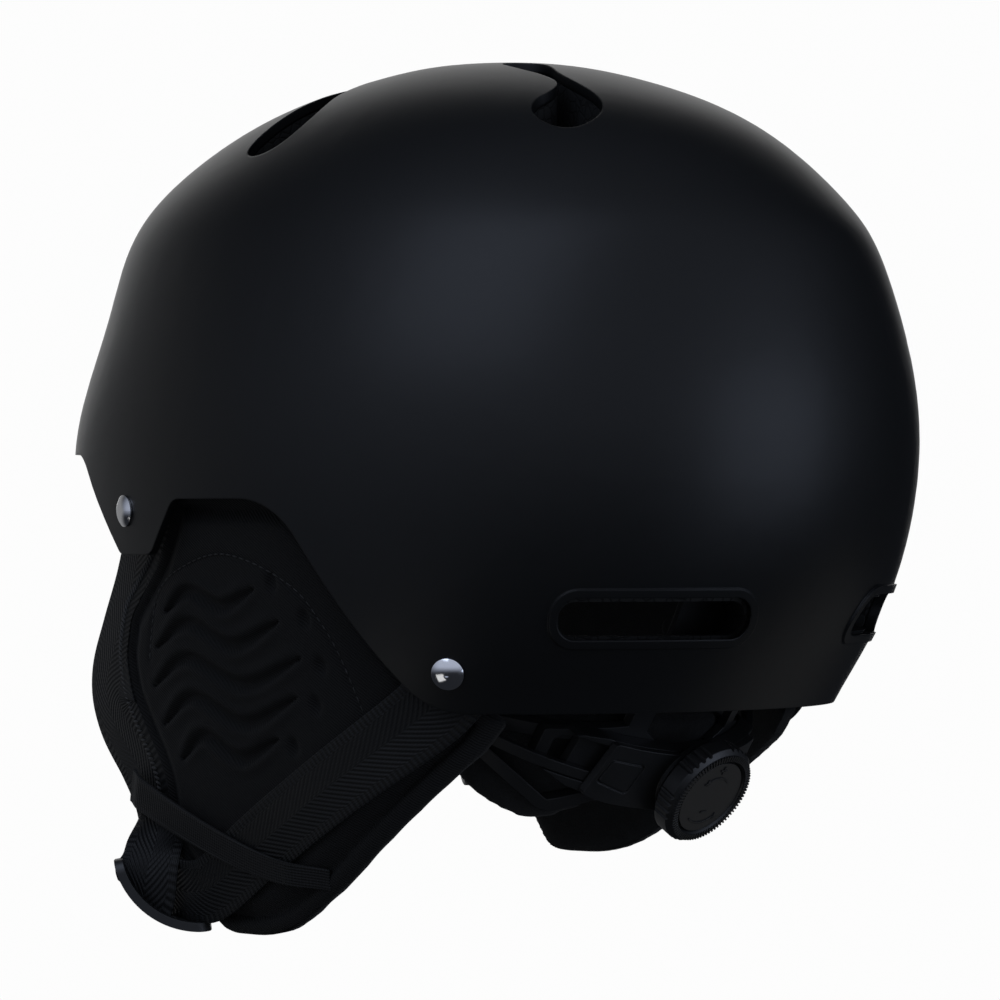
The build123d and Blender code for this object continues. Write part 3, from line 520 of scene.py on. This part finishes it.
# %% Finish the solids that stay
solid_finishes = {
    shell_satin: ("outer_shell",),
    bead_foam: ("foam_liner",),
    polished_steel: ("strap_rivets",),
    zinc_steel: ("rivet_washers", "dial_screw", "housing_screws"),
    moulded_plastic: ("cradle_frame", "dial_housing", "housing_cover", "left_rack_arm", "right_rack_arm",
                      "dial_pinion", "cradle_brackets", "ratchet_spring"),
    dial_plastic: ("dial_knob", "dial_cap", "buckle_socket", "buckle_plug"),
}


def dress(piece, material):
    """Gives a whole piece one material."""
    piece.data.materials.clear()
    piece.data.materials.append(material)


for material, names in solid_finishes.items():
    for name in names:
        for holder in nodes[name].material_slots:
            holder.material = material
print("solids finished", sum(len(names) for names in solid_finishes.values()))

# %% [markdown]
# An ear flap is a foam panel between two cloths, overlocked round its edge. Its outer cloth is pressed in a
# mould, which leaves shallow channels: here a row of wind-blown waves and drops. A line of stitches arches
# over them. All are drawn as marks along and up, like the outline.

# %% Marks on a flap
wave_marks = (
    ((-44, 92), (-32, 98), (-18, 94), (-4, 99)),
    ((-50, 82), (-34, 89), (-16, 83), (4, 90)),
    ((-54, 71), (-36, 79), (-14, 72), (10, 80)),
    ((-52, 60), (-36, 68), (-16, 61), (6, 69)),
    ((-46, 50), (-34, 57), (-20, 51), (-4, 57)),
)
dot_marks = ((4, 101), (14, 91), (17, 78), (13, 67), (2, 55))
panel_line = ((-55, 78), (-53.2, 83.8), (-48.4, 95.3), (-42.1, 101.1), (-32.5, 105.1), (-21.2, 108.1),
              (-11.2, 108.4), (1.3, 104.9), (12.6, 98.7), (18.9, 90.5), (23.7, 80.9), (28.2, 65.2))
print("waves", len(wave_marks), "drops", len(dot_marks))

# %% [markdown]
# Next to the rolled edge the two cloths are pressed together, which leaves a groove; inside it the foam
# swells to its full thickness. Sculpting could give this too, but a height worked out from the distance to
# each line stays even.

# %% How far the padding swells
rim_swell = 0.8  # how far the cloth stands off the middle at the very rim
roll_radius = 2.7  # of the overlocked roll round the edge
groove_swell = 1.2  # in the groove inside the roll
foam_swell = 2.8  # how much more where the foam is at its full thickness
foam_start = 4.9  # from the rim
foam_rise = 6.0  # width over which the foam reaches its full thickness
channel_depth = 1.5
channel_lip = 0.5  # the cloth stands up this much beside a channel
dot_depth = 1.3
seam_depth = 0.45
drape_height = 0.22  # of the slow waves in the cloth


def ease(value):
    """0 to 1 with a soft start and end."""
    value = np.clip(value, 0, 1)
    return value * value * (3 - 2 * value)


def flap_swell(places, edge):
    """How far the outer cloth stands off the panel's middle, in millimetres."""
    rim, _ = nearest(places, edge)
    roll = roll_radius * np.sqrt(np.clip(1 - ((rim - roll_radius) / roll_radius) ** 2, 0, 1))
    roll *= rim < 2 * roll_radius
    body = np.where(rim > roll_radius, groove_swell + foam_swell * ease((rim - foam_start) / foam_rise), 0)
    swell = np.maximum(roll, body)
    for marks in wave_marks:
        line, _ = smooth_line(marks, 90)
        gap, which = nearest(places, line)
        wide = 0.4 + 1.5 * np.sin(np.pi * which / 89) ** 0.8  # a channel is widest in its middle
        swell -= channel_depth * np.exp(-((gap / wide) ** 3.5))
        swell += channel_lip * np.exp(-(((gap - wide - 1.6) / 1.4) ** 2)) * np.minimum(1, wide / 1.2)
    for mark in dot_marks:
        gap = np.hypot(places[:, 0] - mark[0], (places[:, 1] - mark[1]) * 0.7)
        swell -= dot_depth * np.exp(-((gap / 1.8) ** 3.5))
    seam, _ = nearest(places, smooth_line(panel_line, 260)[0])
    swell -= seam_depth * np.exp(-((seam / 0.9) ** 2))
    drape = np.sin(places[:, 0] / 9.0 + 0.7 * np.sin(places[:, 1] / 13.0)) * ease((rim - 5) / 15)
    return swell + drape_height * drape


print("swell at the ear", flap_swell(np.array([[-10.0, 88.0]]), flap_edges["left"]).round(2))

# %% [markdown]
# The panel is two grids, an outer and an inner cloth. Each is stretched between the four sides of the
# outline, as cloth is pulled over a frame, and the two are joined along their rims.

# %% Padded ear flaps
panel_middle = 4.0  # depth of the panel's middle below the face
back_swell = 3.8  # of the inner cloth
back_roll = 7.0  # width of the round edge of the inner cloth


def corner_index(edge, corner):
    """Which point of an outline is nearest to a corner."""
    return int(np.argmin(np.hypot(edge[:, 0] - corner[0], edge[:, 1] - corner[1])))


def make_flap(side_name):
    """One padded flap, as a closed mesh."""
    edge = flap_edges[side_name]
    corners = flap_corners[side_name]
    top_front, tip_front, tip_back, top_back = (corner_index(edge, corners[k]) for k in (0, 7, 8, 13))
    ring = np.vstack([edge[:-1], edge[:-1]])
    total = len(edge) - 1
    fine = 401
    front = evenly(ring[top_front:tip_front + 1], fine)
    bottom = evenly(ring[tip_front:tip_back + 1], fine)
    back = evenly(ring[tip_back:top_back + 1], fine)[::-1]
    top = evenly(ring[top_back:total + top_front + 1], fine)[::-1]

    def pick(line, t):
        return np.stack([np.interp(t, np.linspace(0, 1, fine), line[:, k]) for k in range(2)], axis=1)

    def places(u, v):
        """The grid stretched between the four sides of the outline."""
        v = 1 - v
        u_, v_ = u[:, None], v[:, None]
        return ((1 - u_) * pick(front, v) + u_ * pick(back, v)
                + (1 - v_) * pick(top, u) + v_ * pick(bottom, u)
                - (1 - u_) * (1 - v_) * front[0] - u_ * (1 - v_) * back[0]
                - (1 - u_) * v_ * front[-1] - u_ * v_ * back[-1])

    def on_border(u, v):
        return (u < 1e-5) | (u > 1 - 1e-5) | (v < 1e-5) | (v > 1 - 1e-5)

    def outer(u, v):
        at = places(u, v)
        swell = np.where(on_border(u, v), rim_swell, np.maximum(flap_swell(at, edge), rim_swell))
        return on_face(side_of[side_name], at[:, 0], at[:, 1], panel_middle - swell), at[:, 0], at[:, 1]

    def inner(u, v):
        at = places(u, v)
        rim, _ = nearest(at, edge)
        swell = back_swell * np.sqrt(1 - (1 - np.clip(rim / back_roll, 0, 1)) ** 2)
        swell = np.where(on_border(u, v), -rim_swell, swell)
        return on_face(side_of[side_name], at[:, 0], at[:, 1], panel_middle + swell), at[:, 0], at[:, 1]

    halves = [laid_grid("flap_half", 150, 190, outer), laid_grid("flap_half", 150, 190, inner)]
    dress(halves[0], flap_twill)
    dress(halves[1], brushed_knit)
    flap = join(halves, side_name + "_padded_flap")
    outward(flap)
    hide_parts(side_name + "_ear_flap", side_name + "_flap_top")
    hang_on_hinge(flap, side_name)
    return flap


flaps = {name: make_flap(name) for name in side_of}
print("flap triangles", sum(len(flap.data.polygons) * 2 for flap in flaps.values()))

# %% [markdown]
# Webbing is a flat band, so it is a grid laid along a line on the flap's face and thickened. A bevelled
# curve would do for a cord, but a band has to lie flat on its face and keep a map for its weave.

# %% A band on the face
lap = 3.0  # a band runs this far under the edge of what covers it
band_edge = 0.3  # width of its softened edges


def thicken(piece, thickness):
    """Gives a laid band its thickness and soft edges."""
    solid = piece.modifiers.new("thickness", "SOLIDIFY")
    solid.thickness = thickness * MM
    solid.offset = 0.0
    edge = piece.modifiers.new("edge", "BEVEL")
    edge.width = band_edge * MM
    edge.segments = 2
    edge.limit_method = "ANGLE"
    apply_all(piece)
    outward(piece)


def band(name, side_name, marks, width, thickness, depth, cut_by=None, narrow=0.0, pinch=0.0):
    """Band of webbing along marks, with its middle as deep below the face as depth(run share, across) says.

    It ends under the outline cut_by. Its width loses the share narrow along its length, and the share
    pinch near its end.
    """
    count = 160
    line, length = smooth_line(marks, count)
    heading = np.gradient(line, axis=0)
    heading /= np.linalg.norm(heading, axis=1)[:, None]
    normal = np.stack([-heading[:, 1], heading[:, 0]], axis=1)
    low = np.full(count, -width / 2)
    high = np.full(count, width / 2)
    if cut_by is not None:
        for k in range(count):
            tries = np.arange(-width / 2 + 2.0, width / 2 + 8.5, 0.25)
            at = line[k] + tries[:, None] * normal[k]
            gap, _ = nearest(at, cut_by)
            hit = inside(at, cut_by) & (gap > lap)
            high[k] = tries[np.argmax(hit)] if hit.any() else tries[-1]
    share = np.linspace(0, 1, count)
    taper = 1 - narrow * share - pinch * ease((share - 0.8) / 0.2)

    def place(u, v):
        def pick(values):
            return np.interp(v * (count - 1), np.arange(count), values)

        across = pick(low * taper) + u * (pick(high * taper) - pick(low * taper))
        y = pick(line[:, 0]) + across * pick(normal[:, 0])
        z = pick(line[:, 1]) + across * pick(normal[:, 1])
        points = on_face(side_of[side_name], y, z, depth(v, across))
        return points, v * length, across

    piece = laid_grid(name, 14, int(length / 1.2), place)
    thicken(piece, thickness)
    return piece


print("edges softened by", band_edge, "mm")

# %% [markdown]
# Two straps hold each flap. The front one is sewn to the flap's edge and shows only ahead of it, so its
# back edge follows the flap's outline. The rear one lies on top of the flap and runs down to the clip.
# Worn webbing is never quite flat, so each sways a little across its width.

# %% Straps
strap_width = 19.0
half_strap = strap_width / 2
strap_thickness = 1.5


def front_depth(v, across):
    return 1.8 + 0.25 * np.sin(v * 9) * (across / half_strap)


def rear_depth(v, across):
    return -1.1 + 0.2 * np.sin(v * 11 + 1) * (across / half_strap)


front_marks = ((-51.6, 127), (-55, 113), (-62, 99), (-72.5, 84), (-80.5, 71))
strap_marks = {
    ("left", "front"): (*front_marks, (-80, 60.5), (-71, 48.5), (-65.5, 38), (-64, 27)),
    ("right", "front"): (*front_marks, (-80.3, 63)),
    ("left", "rear"): ((60.6, 83), (53, 71), (41, 61), (15, 44.8), (-16, 27), (-36, 15.3), (-47, 11.6),
                       (-61.5, 12.9)),
    ("right", "rear"): ((60.6, 83), (52, 70), (38, 64), (10, 52), (-27, 36.4)),
}
for (side_name, which), marks in strap_marks.items():
    if which == "front":
        strap = band(side_name + "_front_webbing", side_name, marks, strap_width, strap_thickness,
                     front_depth, cut_by=flap_edges[side_name])
        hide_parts(side_name + "_front_strap")
    else:
        strap = band(side_name + "_rear_webbing", side_name, marks, strap_width, strap_thickness,
                     rear_depth, pinch=0.08)
        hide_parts(side_name + "_rear_strap", side_name + "_strap_tops")
    dress(strap, strap_webbing)
    hang_on_hinge(strap, side_name)
print("straps", len(strap_marks))

# %% [markdown]
# An elastic keeper holds the two straps of a side together. It is a narrower, thinner band that lies over
# both straps, dips to the flap at its two ends and loses almost half its width towards the back.

# %% Keepers
keeper_width = 10.4
keeper_thickness = 1.0


def keeper_depth(v, across):
    return -2.8 + 4.4 * ease((v - 0.84) / 0.16) + 1.8 * ease((0.07 - v) / 0.07)


keeper_marks = {
    "left": ((-72, 41.5), (-63, 37.6), (-51, 32.7), (-31.3, 25.6), (-13, 20.3), (6.5, 17.6)),
    "right": ((-69, 59.6), (-48, 51), (-22, 41), (-4, 36)),
}
for side_name, marks in keeper_marks.items():
    keeper = band(side_name + "_keeper_band", side_name, marks, keeper_width, keeper_thickness,
                  keeper_depth, narrow=0.42)
    dress(keeper, ribbed_elastic)
    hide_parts(side_name + "_keeper")
    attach(keeper, side_name + "_flap")
print("keepers", len(keeper_marks))

# %% [markdown]
# Below the chin each front strap turns out from under its keeper, bellies forward and dips into the slot of
# its half of the clip. A band that twists like this is laid between stations, each with a middle and the
# direction of its width.

# %% Folded ends at the clip
def folded_band(name, side_name, stations):
    """Webbing through stations of (middle, share of the width along x, y and z), on the flap's body."""
    side = np.array([side_of[side_name], 1.0, 1.0])
    marks = np.array([[*middle, *across] for middle, across in stations], float)
    count = 90
    line, _ = smooth_line(marks, count)
    middles = line[:, :3] * side
    across = line[:, 3:] * side
    run = run_along(middles)

    def place(u, v):
        def pick(values):
            row = v * (count - 1)
            return np.stack([np.interp(row, np.arange(count), values[:, k]) for k in range(3)], axis=1)

        off = (u - 0.5) * strap_width
        wave = 0.35 * np.sin(v * 14) * (off / half_strap)
        points = pick(middles) + off[:, None] * pick(across)
        points[:, 0] += side_of[side_name] * wave
        return points, v * run[-1], off

    piece = laid_grid(name, 16, 70, place)
    thicken(piece, strap_thickness)
    dress(piece, strap_webbing)
    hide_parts(side_name + "_strap_loop")
    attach(piece, side_name + "_flap")


folded_band("left_folded_webbing", "left", (
    ((70.4, -63.3, 33.5), (0.15, 0.98, 0.0)),
    ((74.1, -61.7, 27.0), (-0.48, 0.64, 0.0)),
    ((77.5, -60.2, 22.0), (-0.57, 0.66, -0.05)),
    ((79.5, -60.3, 17.0), (-0.59, 0.67, -0.30)),
    ((79.7, -61.0, 12.2), (-0.56, 0.64, -0.56)),
    ((79.0, -62.2, 8.4), (-0.51, 0.58, -0.70)),
))
folded_band("right_folded_webbing", "right", (
    ((71.6, -79.2, 68.5), (0.55, 0.83, 0.0)),
    ((76.0, -78.4, 62.0), (0.1, 0.95, 0.0)),
    ((79.6, -77.0, 56.5), (-0.3, 0.9, -0.05)),
    ((81.8, -76.2, 51.5), (-0.52, 0.72, -0.30)),
    ((82.6, -76.6, 47.0), (-0.52, 0.62, -0.56)),
    ((82.3, -77.5, 43.6), (-0.49, 0.56, -0.70)),
))
print("folded ends", 2)

# %% [markdown]
# Sewing thread lies across an edge when it binds the edge, and along a line when it only holds two cloths
# together. One stitch is modelled and then copied, each copy with its own mesh.

# %% One stitch, and a row of them
clear_selection()
bpy.ops.mesh.primitive_uv_sphere_add(segments=8, ring_count=6, radius=0.5 * MM, location=(0, 0, 0))
one_stitch = bpy.context.object
one_stitch.name = "one_stitch"


def sew(name, side_name, marks, spacing, size, turn, depth):
    """Row of stitches along marks on the flap; size is length, width and height of one."""
    _, length = smooth_line(marks, 10)
    line, _ = smooth_line(marks, max(4, int(length / spacing)) + 1)
    side = side_of[side_name]
    copies = []
    for here, ahead in zip(line, line[1:]):
        y, z = (here + ahead) / 2
        heading = (ahead - here) / np.linalg.norm(ahead - here)
        heading = np.array([math.cos(turn) * heading[0] - math.sin(turn) * heading[1],
                            math.sin(turn) * heading[0] + math.cos(turn) * heading[1]])
        spot = on_face(side, np.array([y, y + heading[0], y - heading[1]]),
                       np.array([z, z + heading[1], z + heading[0]]), depth)
        along = Vector(spot[1] - spot[0]).normalized()
        sideways = Vector(spot[2] - spot[0])
        up = along.cross(sideways).normalized()
        place = Matrix((along * size[0], up.cross(along) * size[1], up * size[2])).transposed().to_4x4()
        place.translation = Vector(spot[0]) * MM
        copy = bpy.data.objects.new(name, one_stitch.data.copy())
        bpy.context.collection.objects.link(copy)
        copy.data.transform(place)
        copies.append(copy)
    row = join(copies, name, merge=0.0)
    outward(row)
    dress(row, sewing_thread)
    hang_on_hinge(row, side_name)


print("faces of a stitch", len(one_stitch.data.polygons))

# %% [markdown]
# The overlock binds the front edge of a flap with slanting threads, down to where the strap or the clip
# hides it. The panel stitches lie along their line.

# %% Sewn seams
overlock_stitch = (2.4, 0.75, 0.7)  # length, width and height
overlock_spacing = 1.45
overlock_turn = math.radians(62)
overlock_offset = 0.9  # outwards from the outline
overlock_depth = 1.0
panel_stitch = (2.1, 0.42, 0.5)
panel_spacing = 2.6
panel_depth = 0.25
for side_name, lowest in (("left", 22.0), ("right", 62.0)):
    edge, corners = flap_edges[side_name], flap_corners[side_name]
    front = edge[corner_index(edge, corners[0]):corner_index(edge, corners[6])]
    ahead = np.gradient(front, axis=0)
    ahead /= np.linalg.norm(ahead, axis=1)[:, None]
    seam = (front + overlock_offset * np.stack([ahead[:, 1], -ahead[:, 0]], axis=1))[4::7]
    seam = seam[seam[:, 1] > lowest]
    sew(side_name + "_overlock", side_name, seam, overlock_spacing, overlock_stitch, overlock_turn,
        overlock_depth)
    sew(side_name + "_panel_stitches", side_name, panel_line, panel_spacing, panel_stitch, 0.0, panel_depth)
bpy.data.objects.remove(one_stitch)
print("rows of stitches", 4)

# %% [markdown]
# The comfort pads are soft foam in a brushed knit, cut a little small and swollen to shape. Cloth inflated
# a little from a smaller start does the same; each point's movement is capped so that no pad leaves its
# seat.

# %% Comfort pads
knit_stiffness = 25


def puffed_pad(name, body, voxel=2.2, reach=1.0, pressure=4.0, frames=12):
    """Soft pad in the place of a solid one, inflated by at most reach millimetres."""
    solid = nodes[name]
    mesh = solid.data.copy()
    mesh.transform(solid.matrix_world)
    pad = bpy.data.objects.new(name + "_cushion", mesh)
    bpy.context.collection.objects.link(pad)
    remesh = pad.modifiers.new("remesh", "REMESH")
    remesh.mode = "VOXEL"
    remesh.voxel_size = voxel * MM
    ease_edges = pad.modifiers.new("ease", "SMOOTH")
    ease_edges.factor = 0.5
    ease_edges.iterations = 6
    apply_all(pad)
    mesh = pad.data
    count = len(mesh.vertices)
    start = np.empty(count * 3)
    mesh.vertices.foreach_get("co", start)
    swell = pad.modifiers.new("swell", "CLOTH")
    swell.settings.use_pressure = True
    swell.settings.uniform_pressure_force = pressure
    swell.settings.effector_weights.gravity = 0.0
    swell.settings.tension_stiffness = knit_stiffness
    swell.settings.compression_stiffness = knit_stiffness
    for moment in range(1, frames + 1):
        bpy.context.scene.frame_set(moment)
    apply_all(pad)
    bpy.context.scene.frame_set(1)
    end = np.empty(count * 3)
    pad.data.vertices.foreach_get("co", end)
    move = (end - start).reshape(-1, 3)
    far = np.linalg.norm(move, axis=1)
    move *= np.minimum(1.0, reach * MM / np.maximum(far, 1e-9))[:, None]
    pad.data.vertices.foreach_set("co", (start.reshape(-1, 3) + move).ravel())
    finer = pad.modifiers.new("finer", "SUBSURF")
    finer.levels = finer.render_levels = 1
    apply_all(pad)
    outward(pad)
    dress(pad, brushed_knit)
    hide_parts(name)
    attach(pad, body)
    return pad


for name, body in (("crown_pad", "shell"), ("brow_pad", "shell"), ("side_pads", "shell"),
                   ("rear_pads", "shell"), ("nape_pad", "cradle")):
    pad = puffed_pad(name, body)
    print(pad.name, len(pad.data.polygons))

# %% [markdown]
# The dial sits at the nape and leans down. What is added to it is drawn flat, in millimetres, and is then
# stood on the dial's axis. Every mark is built from one small bar.

# %% Drawing on the dial
cradle_middle = Vector((0, 19.6, 81.7))
dial_axis = Vector((0, 0.83867, -0.54464))
dial_up = Vector((0, 0.54464, 0.83867))
dial_across = Vector((-1, 0, 0))
cap_front = 75.6  # along the axis from the cradle's middle
bezel_front = 76.0
raised = 0.5  # height of the marks


def on_dial(piece, front):
    """Stands a piece drawn flat in millimetres on the dial's axis, front millimetres along it."""
    place = Matrix((dial_across * MM, dial_up * MM, dial_axis * MM)).transposed().to_4x4()
    place.translation = (cradle_middle + dial_axis * front) * MM
    piece.data.transform(place)


def flat_bar(size, x, y, turn, height):
    """Small bar whose middle is at x and y."""
    clear_selection()
    bpy.ops.mesh.primitive_cube_add(size=1, location=(0, 0, 0))
    bar = bpy.context.object
    place = Matrix.Translation((x, y, 0)) @ Matrix.Rotation(turn, 4, "Z")
    bar.data.transform(place @ Matrix.Diagonal((*size, height, 1)))
    return bar


def fix_on_dial(parts, name, front):
    """Joins bars into one piece that turns with the dial."""
    piece = join(parts, name, merge=0.0)
    on_dial(piece, front)
    outward(piece)
    dress(piece, dial_plastic)
    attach(piece, "dial")


print("the dial leans down by", round(math.degrees(math.asin(-dial_axis.z)), 1), "degrees")

# %% [markdown]
# The cap in the dial's middle has raised marks from the same mould: a plus for tighter, a minus for
# looser, each beside a curved arrow.

# %% Marks on the cap
stroke = 0.6  # width of the plus and the minus
sign_length = 2.6
arrow_stroke = 0.55
head_length = 1.9


def curved_arrow(radius, start, end):
    """Bars that make an arc about the dial's middle, from start to end degrees, with a head at its end."""
    parts = []
    steps = 14
    for k in range(steps):
        angle = math.radians(start + (end - start) * (k + 0.5) / steps)
        parts.append(flat_bar((radius * math.radians(abs(end - start)) / steps * 1.15, arrow_stroke),
                              radius * math.cos(angle), radius * math.sin(angle),
                              angle + math.pi / 2, raised))
    tip = math.radians(end)
    ahead = tip + math.pi / 2
    for lean in (0.7, -0.7):
        parts.append(flat_bar((head_length, arrow_stroke), radius * math.cos(tip) + 0.55 * math.cos(ahead),
                              radius * math.sin(tip) + 0.55 * math.sin(ahead) + lean * 0.45,
                              ahead + lean, raised))
    return parts


marks = [flat_bar((sign_length, stroke), 0, 9.0, 0, raised),
         flat_bar((stroke, sign_length), 0, 9.0, 0, raised),
         flat_bar((sign_length, stroke), 0, -5.0, 0, raised)]
marks += curved_arrow(6.4, 50, 128)
marks += curved_arrow(8.6, 235, 305)
fix_on_dial(marks, "dial_marks", cap_front)
print("bars in the marks", len(marks))

# %% [markdown]
# The dial is turned by its knurled rim, and its bezel is finely serrated so that a glove can hold it. Each
# tooth is a short bar that points to the axis.

# %% Serration of the bezel
teeth = []
tooth_count = 84
bezel_radius = 13.35  # to the middle of each tooth
for k in range(tooth_count):
    angle = 2 * math.pi * k / tooth_count
    teeth.append(flat_bar((1.9, 0.5), bezel_radius * math.cos(angle), bezel_radius * math.sin(angle),
                          angle, 0.55))
fix_on_dial(teeth, "dial_serration", bezel_front)
print("teeth on the bezel", len(teeth))

# %% [markdown]
# The helmet hangs in a white room. The camera and the reflections see its full white, but it lights the
# helmet only a third as much, so that black cloth stays black.

# %% The white room
world = bpy.data.worlds.new("white_room")
bpy.context.scene.world = world
world.use_nodes = True
room = Wire(world)
backdrop = world.node_tree.nodes["Background"]
light_path = world.node_tree.nodes.new("ShaderNodeLightPath")
seen = Wire(world, light_path.outputs["Is Camera Ray"])
mirrored = Wire(world, light_path.outputs["Is Glossy Ray"])
through = Wire(world, light_path.outputs["Is Transmission Ray"])
room_light = 0.35  # its strength for all that isn't looked at or mirrored
room.into(backdrop.inputs["Color"], (0.98, 0.98, 0.98, 1.0))
shown = seen + mirrored + through
room.into(backdrop.inputs["Strength"], room_light + (1 - room_light) * shown.sum("MINIMUM", shown, 1.0))
print("room light", room_light)

# %% [markdown]
# In a studio a glossy black object stands in a dark tent, so that it mirrors nothing bright by accident.
# Here only reflections see the tent, and its cloth is no real cloth: it glows, a painted reflection that is
# brighter high up and in front. It is open only behind, where the room's white shows along the rims of the
# shell. On the left it glows paler, and this painted reflection gives that side of the shell a soft grey
# that fades to black.

# %% A tent that only reflections see
target = Vector((0.0, 0.0045, 0.1237))  # the middle of the helmet
eye = Vector((1.1252, 0.9965, 0.1237))
tent_radius = 2.6
window_edge = 0.88  # a face whose direction leans this far to the back is cut out
# Glow strengths of the tent, a painted reflection: dark where it faces away, bright high up in front, pale
# on the left.
dark_glow = (0.02, 0.022, 0.027, 1)
bright_glow = (0.50, 0.55, 0.68, 1)
pale_glow = (0.28, 0.285, 0.295, 1)
toward = (eye - target).normalized()
level = Vector((-toward.y, toward.x, 0))  # to the right in view


def glowing(name):
    """Material with nothing in it, which shine then makes glow."""
    paint = bpy.data.materials.new(name)
    paint.use_nodes = True
    paint.node_tree.nodes.remove(paint.node_tree.nodes["Principled BSDF"])
    return paint


def shine(paint, colour):
    glow = Wire(paint).make("ShaderNodeEmission", {"Color": colour})
    glow.into(paint.node_tree.nodes["Material Output"].inputs["Surface"], glow)


# The tent is a ball with a window.
clear_selection()
bpy.ops.mesh.primitive_uv_sphere_add(segments=96, ring_count=48, radius=tent_radius, location=(0, 0, 0))
tent = bpy.context.object
tent.name = "dark_tent"
bpy.ops.object.mode_set(mode="EDIT")
bpy.ops.mesh.select_all(action="DESELECT")
bpy.ops.object.mode_set(mode="OBJECT")
for face in tent.data.polygons:
    way = Vector(face.center).normalized()
    face.select = -0.05 * way.dot(level) - 0.95 * way.dot(toward) + 0.28 * way.z > window_edge
bpy.ops.object.mode_set(mode="EDIT")
bpy.ops.mesh.delete(type="FACE")
bpy.ops.object.mode_set(mode="OBJECT")
tent.data.transform(Matrix.Translation(target))
# The tent's glow is a painted reflection: brighter high up and in front, paler on the left, dark below and
# behind.
tent_paint = glowing("tent_glow")
way = Wire(tent_paint).make("ShaderNodeTexCoord", output=3)
in_front = (way.part("X") * toward.x + way.part("Y") * toward.y).ramp(-1.5, 2.0)
shade = (way.part("Z").ramp(-0.9, 0.4) * in_front).mix(dark_glow, bright_glow)
aside = (way.part("X") * (-0.72 * level.x - 0.70 * toward.x)
         + way.part("Y") * (-0.72 * level.y - 0.70 * toward.y))
pale = (aside - 0.45 * way.part("Z").abs()).ramp(1.3, 2.2)
shade = pale.mix(shade, pale_glow)
shine(tent_paint, shade)
tent.data.materials.append(tent_paint)
tent.visible_camera = tent.visible_diffuse = tent.visible_shadow = tent.visible_transmission = False
print("faces of the tent", len(tent.data.polygons))

# %% [markdown]
# Two cards stand low, one ahead on the left and one behind on the right. They put a faint light on what
# faces down, which the tent would leave black. A card is a flat sheet that glows, seen by reflections only.

# %% Cards for reflections
def card(name, direction, distance, width, height, shade):
    """Flat glowing card that only reflections see."""
    clear_selection()
    bpy.ops.mesh.primitive_plane_add(size=1, location=(0, 0, 0))
    sheet = bpy.context.object
    sheet.name = name
    way = Vector(direction).normalized()
    turn = (-way).to_track_quat("Z", "Y").to_matrix().to_4x4()
    place = Matrix.Translation(target + way * distance)
    sheet.data.transform(place @ turn @ Matrix.Diagonal((width, height, 1, 1)))
    paint = glowing(name)
    shine(paint, (shade, shade, shade, 1))
    sheet.data.materials.append(paint)
    sheet.visible_camera = sheet.visible_diffuse = sheet.visible_shadow = False


card("low_left_card", toward * 0.55 + level * -0.75 + Vector((0, 0, -0.75)), 1.9, 1.1, 0.9, 0.9)
card("low_right_card", (-0.75, 0.27, -0.605), 1.9, 1.2, 1.0, 0.2)
print("cards", 2)

# %% [markdown]
# Two soft boxes light the helmet: one high on the left and one level on the right. Each is an area lamp as
# wide as a real box, so its reflection in the satin shell is a large soft glow.

# %% Soft boxes
def soft_box(name, direction, size, distance=1.5, power=5.6, tint=(0.68, 0.78, 1.0)):
    """Lamp behind a square of white cloth, with the cool light of a studio."""
    lamp = bpy.data.lights.new(name, "AREA")
    lamp.shape = "RECTANGLE"
    lamp.size, lamp.size_y = size
    lamp.energy = power
    lamp.color = tint
    holder = bpy.data.objects.new(name, lamp)
    bpy.context.collection.objects.link(holder)
    holder.location = target + Vector(direction).normalized() * distance
    holder.rotation_mode = "QUATERNION"
    holder.rotation_quaternion = (target - holder.location).to_track_quat("-Z", "Y")
    holder.visible_camera = False


soft_box("left_soft_box", toward * 0.62 + level * -0.42 + Vector((0, 0, 0.72)), (1.0, 1.1))
soft_box("right_soft_box", toward * 0.5 + level * 0.85, (1.1, 1.0))
print("lamps", len(bpy.data.lights))

# %% [markdown]
# A white floor below sends some light back up. Neither the camera nor a reflection sees it, so the helmet
# has no horizon behind it.

# %% Floor
clear_selection()
bpy.ops.mesh.primitive_plane_add(size=4, location=(0, 0, -0.42))
floor = bpy.context.object
floor.name = "floor"
floor_paint = bpy.data.materials.new("floor_white")
floor_paint.use_nodes = True
floor_surface = floor_paint.node_tree.nodes["Principled BSDF"]
floor_surface.inputs["Base Color"].default_value = (0.9, 0.9, 0.9, 1)
floor.data.materials.append(floor_paint)
floor.visible_camera = floor.visible_glossy = False

# %% [markdown]
# The camera looks from behind and to the left, level with the helmet's middle. A long lens keeps the far
# side almost as large as the near one.

# %% Camera
camera = bpy.data.objects.new("camera", bpy.data.cameras.new("camera"))
bpy.context.collection.objects.link(camera)
camera.data.lens = 186.3
camera.data.sensor_width = 36.0
camera.location = eye
camera.rotation_mode = "QUATERNION"
camera.rotation_quaternion = (target - eye).to_track_quat("-Z", "Y")
bpy.context.scene.camera = camera
bpy.context.scene.view_settings.view_transform = "Standard"
print("camera", round((eye - target).length, 2), "m away")

# %% [markdown]
